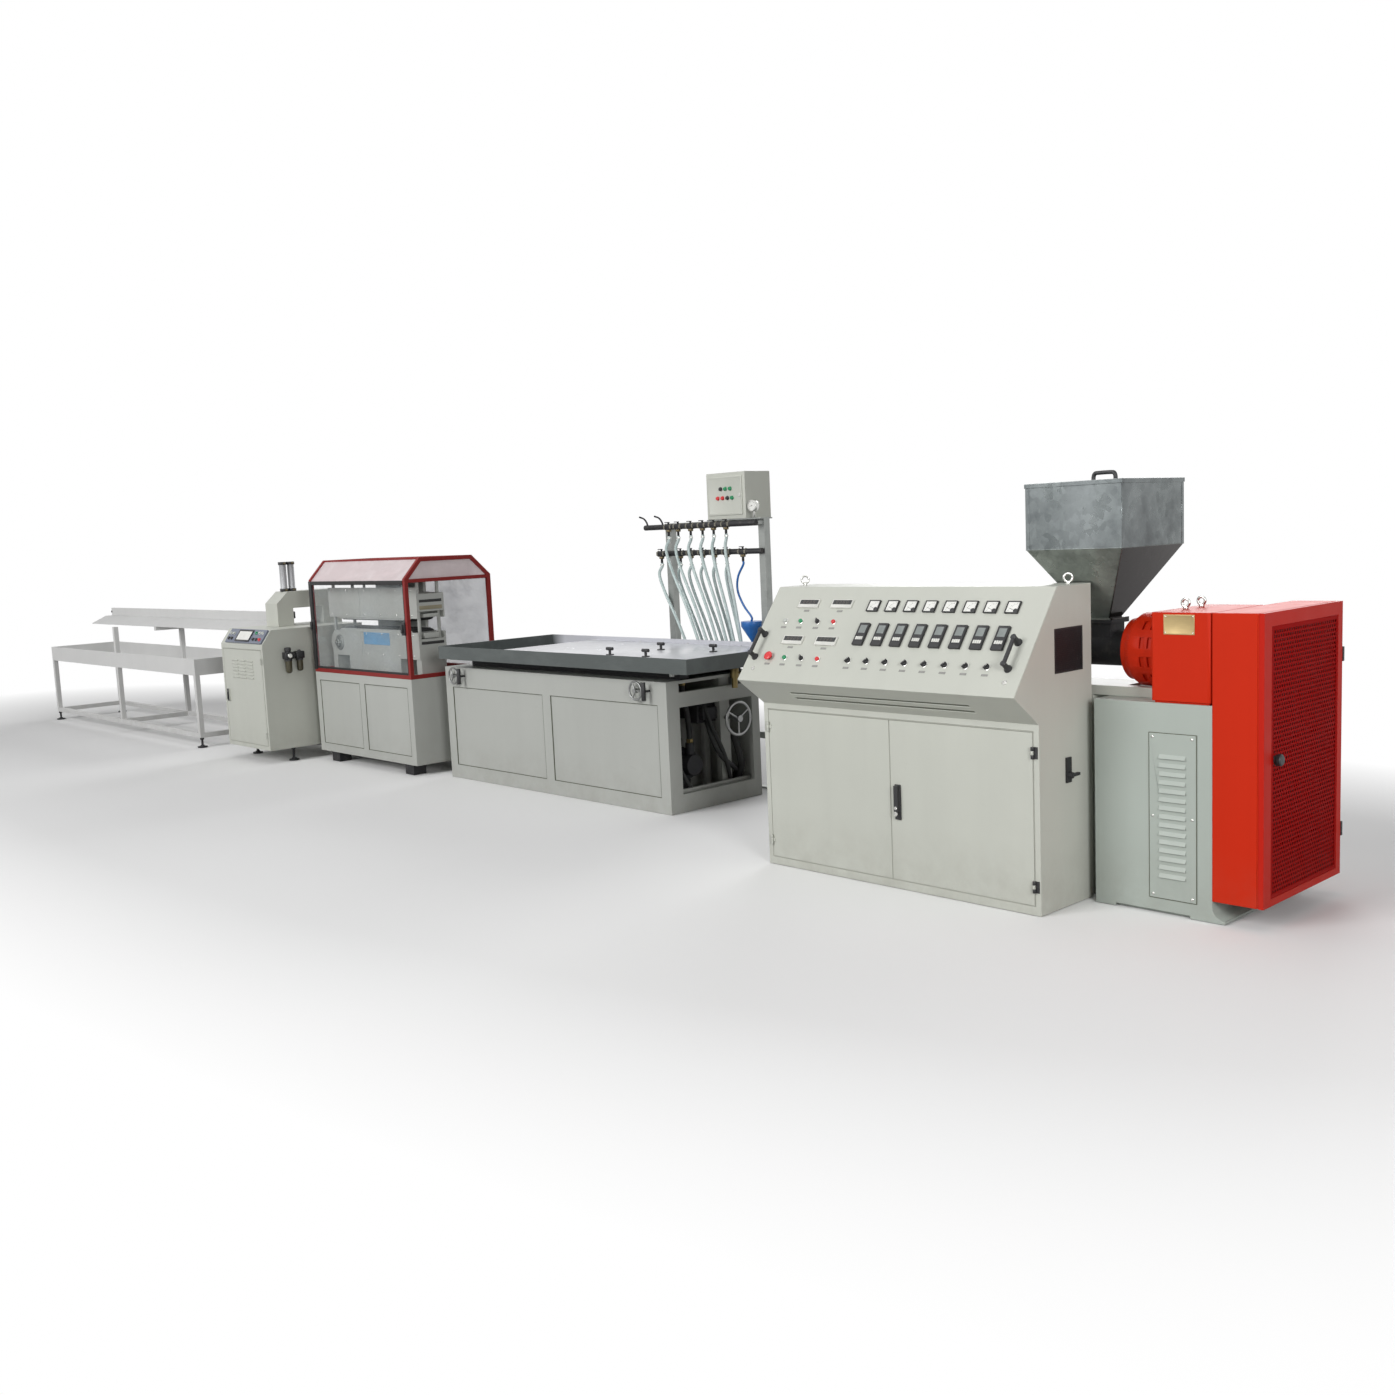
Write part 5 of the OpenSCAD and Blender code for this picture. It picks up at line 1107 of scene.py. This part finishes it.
def window_seal():
    """Black seal round the hood's front window and its two catches."""
    left, right, low, high = -6.803, -5.497, 0.699, 1.332
    front, back = -0.2272, -0.2215
    cover = -0.2345
    strips = [block((left - 0.030, cover, low - 0.008), (left + 0.012, back, high + 0.018), 0.0015, 2),
              block((left + 0.012, cover, high - 0.010), (right, back, high + 0.018), 0.0015, 2),
              block((right - 0.012, front, low), (right, back, high - 0.010), 0.0012, 2),
              block((left + 0.012, front, low), (right - 0.012, back, low + 0.016), 0.0012, 2)]
    done(joined(strips), "window_seal", "black_rubber")
    catch = joined([block((-0.020, -0.016, -0.045), (0.020, 0.0, 0.045), 0.003, 2),
                    block((-0.010, -0.030, -0.030), (0.010, -0.014, 0.030), 0.004, 2)])
    places = [(-6.790, -0.2330, 1.020), (-5.512, -0.2272, 1.020)]
    done(copies(catch, places), "window_catches", "black_plastic")


TRACKS = (("lower_pads", "line", 0.805, 0.995), ("upper_pads", "upper_track", 1.065, 1.255))
BELT_WEST, BELT_EAST = -6.701, -5.599
TRACK_COVER = -0.1102


def track_pads():
    """Rubber grip pads round both track belts."""
    for name, body, low, high in TRACKS:
        r, middle = (high - low) / 2, (high + low) / 2
        west, east = BELT_WEST + r, BELT_EAST - r
        places = []
        pitch = (east - west) / 23
        for i in range(24):
            places.append(Matrix.Translation((west + i * pitch, 0, high)))
            places.append(Matrix.Translation((west + i * pitch, 0, low)) @ Matrix.Rotation(math.pi, 4, "Y"))
        for i in range(1, 7):
            turn = math.pi * i / 7
            for end, side in ((east, 1), (west, -1)):
                places.append(Matrix.Translation((end, 0, middle)) @ Matrix.Rotation(side * turn, 4, "Y")
                              @ Matrix.Translation((0, 0, r)))
        if body == "upper_track":
            places = [p for p in places if p.translation.z < middle + 0.05]
        else:
            places = [p for p in places if p.translation.z > middle - 0.05]
        pad = block((-0.015, -0.085, -0.001), (0.015, 0.085, 0.008), 0.002, 1)
        done(copies(pad, places), name, "black_rubber", body=body)


def track_trim():
    """Bare blue plate on the lower cover, the hub at its round end, and the rows of screws."""
    plate = framed((-6.279, -0.1130, 0.884), (-5.920, TRACK_COVER, 0.972), 0.004, 0.0005, (0, -1, 0), 0.0004)
    done(plate, "cover_plate", "pale_plastic", plate_blue)
    hub = turned([(0.0, 0.058), (0.005, 0.058), (0.008, 0.052), (0.010, 0.034), (0.024, 0.030),
                  (0.027, 0.024), (0.027, 0.012), (0.036, 0.012), (0.038, 0.009)], 32,
                 (-6.640, TRACK_COVER, 0.888), (0, -1, 0))
    done(hub, "drum_hub", "plain_steel")
    columns = (-6.72, -6.50, -6.24, -6.02, -5.80, -5.60)
    bolts = [front_at(x, TRACK_COVER, z) for x in columns[2:] for z in (0.815, 0.962)]
    screw_heads(bolts, 0.007, "cover_screws")
    bolts = [front_at(x, TRACK_COVER, z) for x in columns for z in (1.10, 1.275)]
    screw_heads(bolts, 0.007, "upper_screws", "upper_track")


def track_ends():
    """Cross bars, dark slots and a tan guide at the drive end of both tracks."""
    bar, slot, guide = (-5.586, -5.534, 0.058), (-5.5315, -5.5262, 0.090), (-5.5315, -5.5250, 0.090)
    for name, body, paint_slot, finish, (west, east, half), low, high in (
            ("upper_end_bar", "upper_track", "grey_paint", shop_grey, bar, 1.085, 1.110),
            ("upper_end_slot", "upper_track", "black_rubber", None, slot, 1.190, 1.209),
            ("upper_end_guide", "upper_track", "grey_paint", guide_tan, guide, 1.140, 1.166),
            ("lower_end_bar", "line", "grey_paint", shop_grey, bar, 0.940, 0.976),
            ("lower_end_slot", "line", "black_rubber", None, slot, 0.898, 0.917)):
        done(block((west, -half, low), (east, half, high), 0.001, 2), name, paint_slot, finish, body)


window_seal()
track_pads()
track_trim()
track_ends()


# Cutter and stacker

CYLINDERS = ((-7.340, -0.178, 1.272, 1.500, 0.0305), (-7.340, -0.112, 1.272, 1.500, 0.0305),
             (-6.421, 0.0, 1.355, 1.476, 0.0325), (-5.879, 0.0, 1.355, 1.476, 0.0325))
DESK_FOOT = Vector((-7.5604, -0.590, 0.895))
DESK_TILT = math.atan2(0.110, 0.080)
DESK_W, DESK_RUN, DESK_THICK = 0.6063, 0.136, 0.0143


def on_desk(across, up):
    """Place on the cutter's sloped panel, by shares of its width and height."""
    return (Matrix.Translation(DESK_FOOT) @ Matrix.Rotation(DESK_TILT, 4, "X")
            @ Matrix.Translation((across * DESK_W, up * DESK_RUN, DESK_THICK)))


def desk_detail():
    """White screen in a dark frame and push buttons on the cutter's panel."""
    case = framed((-0.118, -0.050, 0.0), (0.118, 0.050, 0.007), 0.012, 0.003, (0, 0, 1), 0.0015)
    done(copies(case, [on_desk(0.47, 0.5)]), "screen_case", "black_plastic")
    glass = block((-0.105, -0.037, 0.0035), (0.105, 0.037, 0.0050), 0.0006, 1)
    done(copies(glass, [on_desk(0.47, 0.5)]), "screen_glass", "pale_plastic", dial_white)
    button = [(0.0, 0.0140), (0.002, 0.0140), (0.004, 0.0112), (0.010, 0.0108), (0.0125, 0.0080)]
    tinted_caps(button, on_desk, (
        ("desk_buttons_red", lamp_red, [(0.93, 0.30)]),
        ("desk_buttons_green", lamp_green, [(0.76, 0.70)]),
        ("desk_buttons_grey", lamp_grey, [(0.85, 0.70), (0.93, 0.70), (0.08, 0.62), (0.16, 0.62)]),
        ("desk_buttons_dark", finish_of["black_plastic"], [(x, 0.30) for x in (0.76, 0.85, 0.08, 0.16)])))


def cutter_door_detail():
    """Black handle and three columns of louvres on the cutter's door."""
    grip = joined([block((-7.5800, -0.6045, 0.4470), (-7.5520, -0.5985, 0.5430), 0.003, 2),
                   block((-7.5740, -0.6100, 0.4600), (-7.5580, -0.6030, 0.5150), 0.003, 2)])
    done(grip, "cutter_handle", "black_plastic", body="cutter_door")
    fin = turned([(-0.045, 0.0075), (0.045, 0.0075)], 8, along=(1, 0, 0))
    shape(fin)
    bpy.ops.mesh.select_all(action="SELECT")
    bpy.ops.mesh.bisect(plane_co=(0, 0, 0), plane_no=(0, 1, 0), use_fill=True, clear_outer=True)
    bpy.ops.mesh.select_all(action="SELECT")
    bpy.ops.mesh.bevel(offset=0.0008, segments=1, affect="EDGES")
    face_out()
    places = [(-7.288 + dx, CUTTER_DOOR_FACE, 0.640 + 0.026 * i)
              for dx in (-0.125, 0.0, 0.125) for i in range(6)]
    done(copies(fin, places), "cutter_louvres", "grey_paint", body="cutter_door")


def bored(piece, start, end, radius):
    """The piece with a round hole through it."""
    drill = rod(start, end, radius, 24)
    carry_out(piece, "BOOLEAN", operation="DIFFERENCE", solver="EXACT", object=drill)
    bpy.data.objects.remove(drill, do_unlink=True)
    return piece


def cylinder_heads():
    """Black end caps of the four air cylinders, with a fitting on each and a bore for the rods."""
    caps, fittings = [], []
    for x, y, low, high, radius in CYLINDERS:
        wide = radius + 0.0015
        for z in (low, high - 0.021):
            cap = turned([(0.0, radius), (0.002, wide), (0.020, wide), (0.0225, radius)], 28, (x, y, z))
            caps.append(bored(cap, (x, y, z - 0.01), (x, y, z + 0.04), 0.0125) if z == low else cap)
        for z in (low + 0.011, high - 0.010):
            fittings.append(turned([(0.0, 0.008), (0.006, 0.008), (0.007, 0.0055), (0.018, 0.0055),
                                    (0.019, 0.004)], 8, (x + radius, y, z), (1, 0, 0)))
    done(joined(caps), "cylinder_caps", "black_plastic")
    done(joined(fittings), "air_fittings", "brass", dull_brass)


def air_filters():
    """Filter and oiler on the cutter's end: cast heads, amber bowls, knob and small dial."""
    heads, bowls, knobs = [], [], []
    for i, y in enumerate((-0.405, -0.315)):
        heads.append(block((-6.9395, y - 0.033, 0.778), (-6.8785, y + 0.033, 0.832), 0.006, 3))
        heads.append(turned([(0.0, 0.027), (0.012, 0.027), (0.014, 0.024)], 24, (-6.904, y, 0.764)))
        bowls.append(turned([(0.0, 0.008), (0.003, 0.015), (0.010, 0.0215), (0.020, 0.0235),
                             (0.092 - 0.01 * i, 0.0238)], 24, (-6.904, y, 0.672 + 0.01 * i)))
    heads.append(rod((-6.904, -0.374, 0.805), (-6.904, -0.346, 0.805), 0.015, 16))
    knobs.append(turned([(0.0, 0.019), (0.006, 0.019), (0.008, 0.024), (0.030, 0.024), (0.035, 0.019),
                         (0.036, 0.010)], 20, (-6.904, -0.405, 0.831)))
    knobs.append(turned([(0.0, 0.013), (0.006, 0.013), (0.010, 0.010), (0.012, 0.006)], 16,
                        (-6.904, -0.315, 0.831)))
    done(joined(heads), "filter_heads", "black_plastic", stands_for=("air_unit",))
    done(joined(bowls), "filter_bowls", "pale_plastic", amber_bowl)
    done(joined(knobs), "filter_knobs", "black_plastic")
    dial = turned([(0.0, 0.018), (0.010, 0.018), (0.012, 0.0165), (0.012, 0.0155), (0.010, 0.0150)], 24,
                  (-6.8790, -0.405, 0.805), (1, 0, 0))
    done(dial, "filter_dial", "bright_steel")
    face = turned([(0.0, 0.0148), (0.0008, 0.0148), (0.0010, 0.0142)], 24,
                  (-6.8689, -0.405, 0.805), (1, 0, 0))
    done(face, "filter_dial_face", "pale_plastic", dial_white)


def foot_nuts():
    """Lock nuts on the screw feet of the cutter and the stacker, and the dark end blocks of the trough."""
    nut = turned([(0.0, 0.0155), (0.0025, 0.0175), (0.0115, 0.0175), (0.014, 0.0155)], 6)
    places = [(x, y, 0.064) for x in (-11.761, -8.355) for y in (-0.510, 0.100)]
    places += [(x, y, 0.084) for x in (-7.600, -6.985) for y in (-0.3835, 0.150)]
    done(copies(nut, places), "foot_nuts", "black_iron")
    ends = [block((-7.746, -0.156, 0.934), (-7.720, -0.096, 0.974), 0.003, 2),
            block((-7.746, 0.048, 1.036), (-7.720, 0.090, 1.092), 0.003, 2),
            block((-11.672, 0.050, 1.040), (-11.650, 0.090, 1.060), 0.003, 2)]
    done(joined(ends), "trough_ends", "black_plastic")


foot_nuts()
desk_detail()
cutter_door_detail()
cylinder_heads()
air_filters()


# Light, floor and background

ROOM_LIGHT = 0.14
LAMP_ROWS = (("key_lamp", (-6.5, -16.0, 8.5), 9.0, 1930.0),
             ("high_lamp", (-3.0, -1.0, 11.0), 10.0, 230.0),
             ("fill_lamp", (6.0, -4.5, 3.0), 2.5, 330.0),
             ("back_lamp", (-9.0, 15.0, 8.0), 9.0, 1000.0))
LINE_MIDDLE = Vector((-4.0, 0.0, 0.6))


def shown_rays(tree):
    """1 for rays that show the background to the camera: straight, mirrored or through glass."""
    path = tree.nodes.new("ShaderNodeLightPath")
    seen = path.outputs["Is Camera Ray"]
    for other in ("Is Glossy Ray", "Is Transmission Ray"):
        either = tree.nodes.new("ShaderNodeMath")
        either.operation = "MAXIMUM"
        tree.links.new(seen, either.inputs[0])
        tree.links.new(path.outputs[other], either.inputs[1])
        seen = either.outputs[0]
    return seen


def white_room():
    """White all round for the camera, and a softer white as light."""
    world = bpy.data.worlds.new("white_room")
    bpy.context.scene.world = world
    world.use_nodes = True
    tree = world.node_tree
    ground = tree.nodes["Background"]
    ground.inputs["Color"].default_value = (1, 1, 1, 1)
    level = tree.nodes.new("ShaderNodeMapRange")
    level.inputs["To Min"].default_value = ROOM_LIGHT
    level.inputs["To Max"].default_value = 1.0
    tree.links.new(shown_rays(tree), level.inputs["Value"])
    tree.links.new(level.outputs[0], ground.inputs["Strength"])


def lamps():
    """A wide soft lamp in front, a high one over the line, and fills at the drive end and the back."""
    for name, at, size, power in LAMP_ROWS:
        bpy.ops.object.light_add(type="AREA", location=at)
        lamp = bpy.context.object
        lamp.name = name
        lamp.data.size = size
        lamp.data.energy = power
        lamp.rotation_euler = (LINE_MIDDLE - Vector(at)).to_track_quat("-Z", "Y").to_euler()


def pale_floor():
    """Pale floor that keeps the shadow near the line and fades into the white room away from it."""
    begin()
    bpy.ops.mesh.primitive_plane_add(size=120, location=(-4.0, 0.0, -0.002))
    floor = settle(bpy.context.object)
    floor.name = "floor"
    pale = Finish("pale_floor", Roughness=0.8, Specular_IOR_Level=0.1)
    white = pale.blend(pale.cloud(0.4), (0.90, 0.90, 0.90, 1), (0.93, 0.93, 0.93, 1))
    bounced = pale.node("ShaderNodeLightPath", out="Is Diffuse Ray")
    pale.feed("Base Color", pale.blend(bounced, white, (0.40, 0.40, 0.39, 1)))
    x, y = pale.axis("X"), pale.axis("Y")
    along, aside = (x + 4.9) / 8.2, y / 3.0
    out = along * along + aside * aside
    share = pale.band(out, 0.75, 1.6) * Signal(pale, shown_rays(pale.tree))
    glow = pale.node("ShaderNodeEmission", inputs={"Color": (1, 1, 1, 1), "Strength": 1.0})
    both = pale.node("ShaderNodeMixShader", inputs={
        0: share, 1: Signal(pale, pale.shader.outputs[0]), 2: glow})
    pale.tree.links.new(both.socket, pale.tree.nodes["Material Output"].inputs["Surface"])
    floor.data.materials.append(pale.material)


white_room()
lamps()
pale_floor()

view = bpy.context.scene.view_settings
view.view_transform = "Standard"
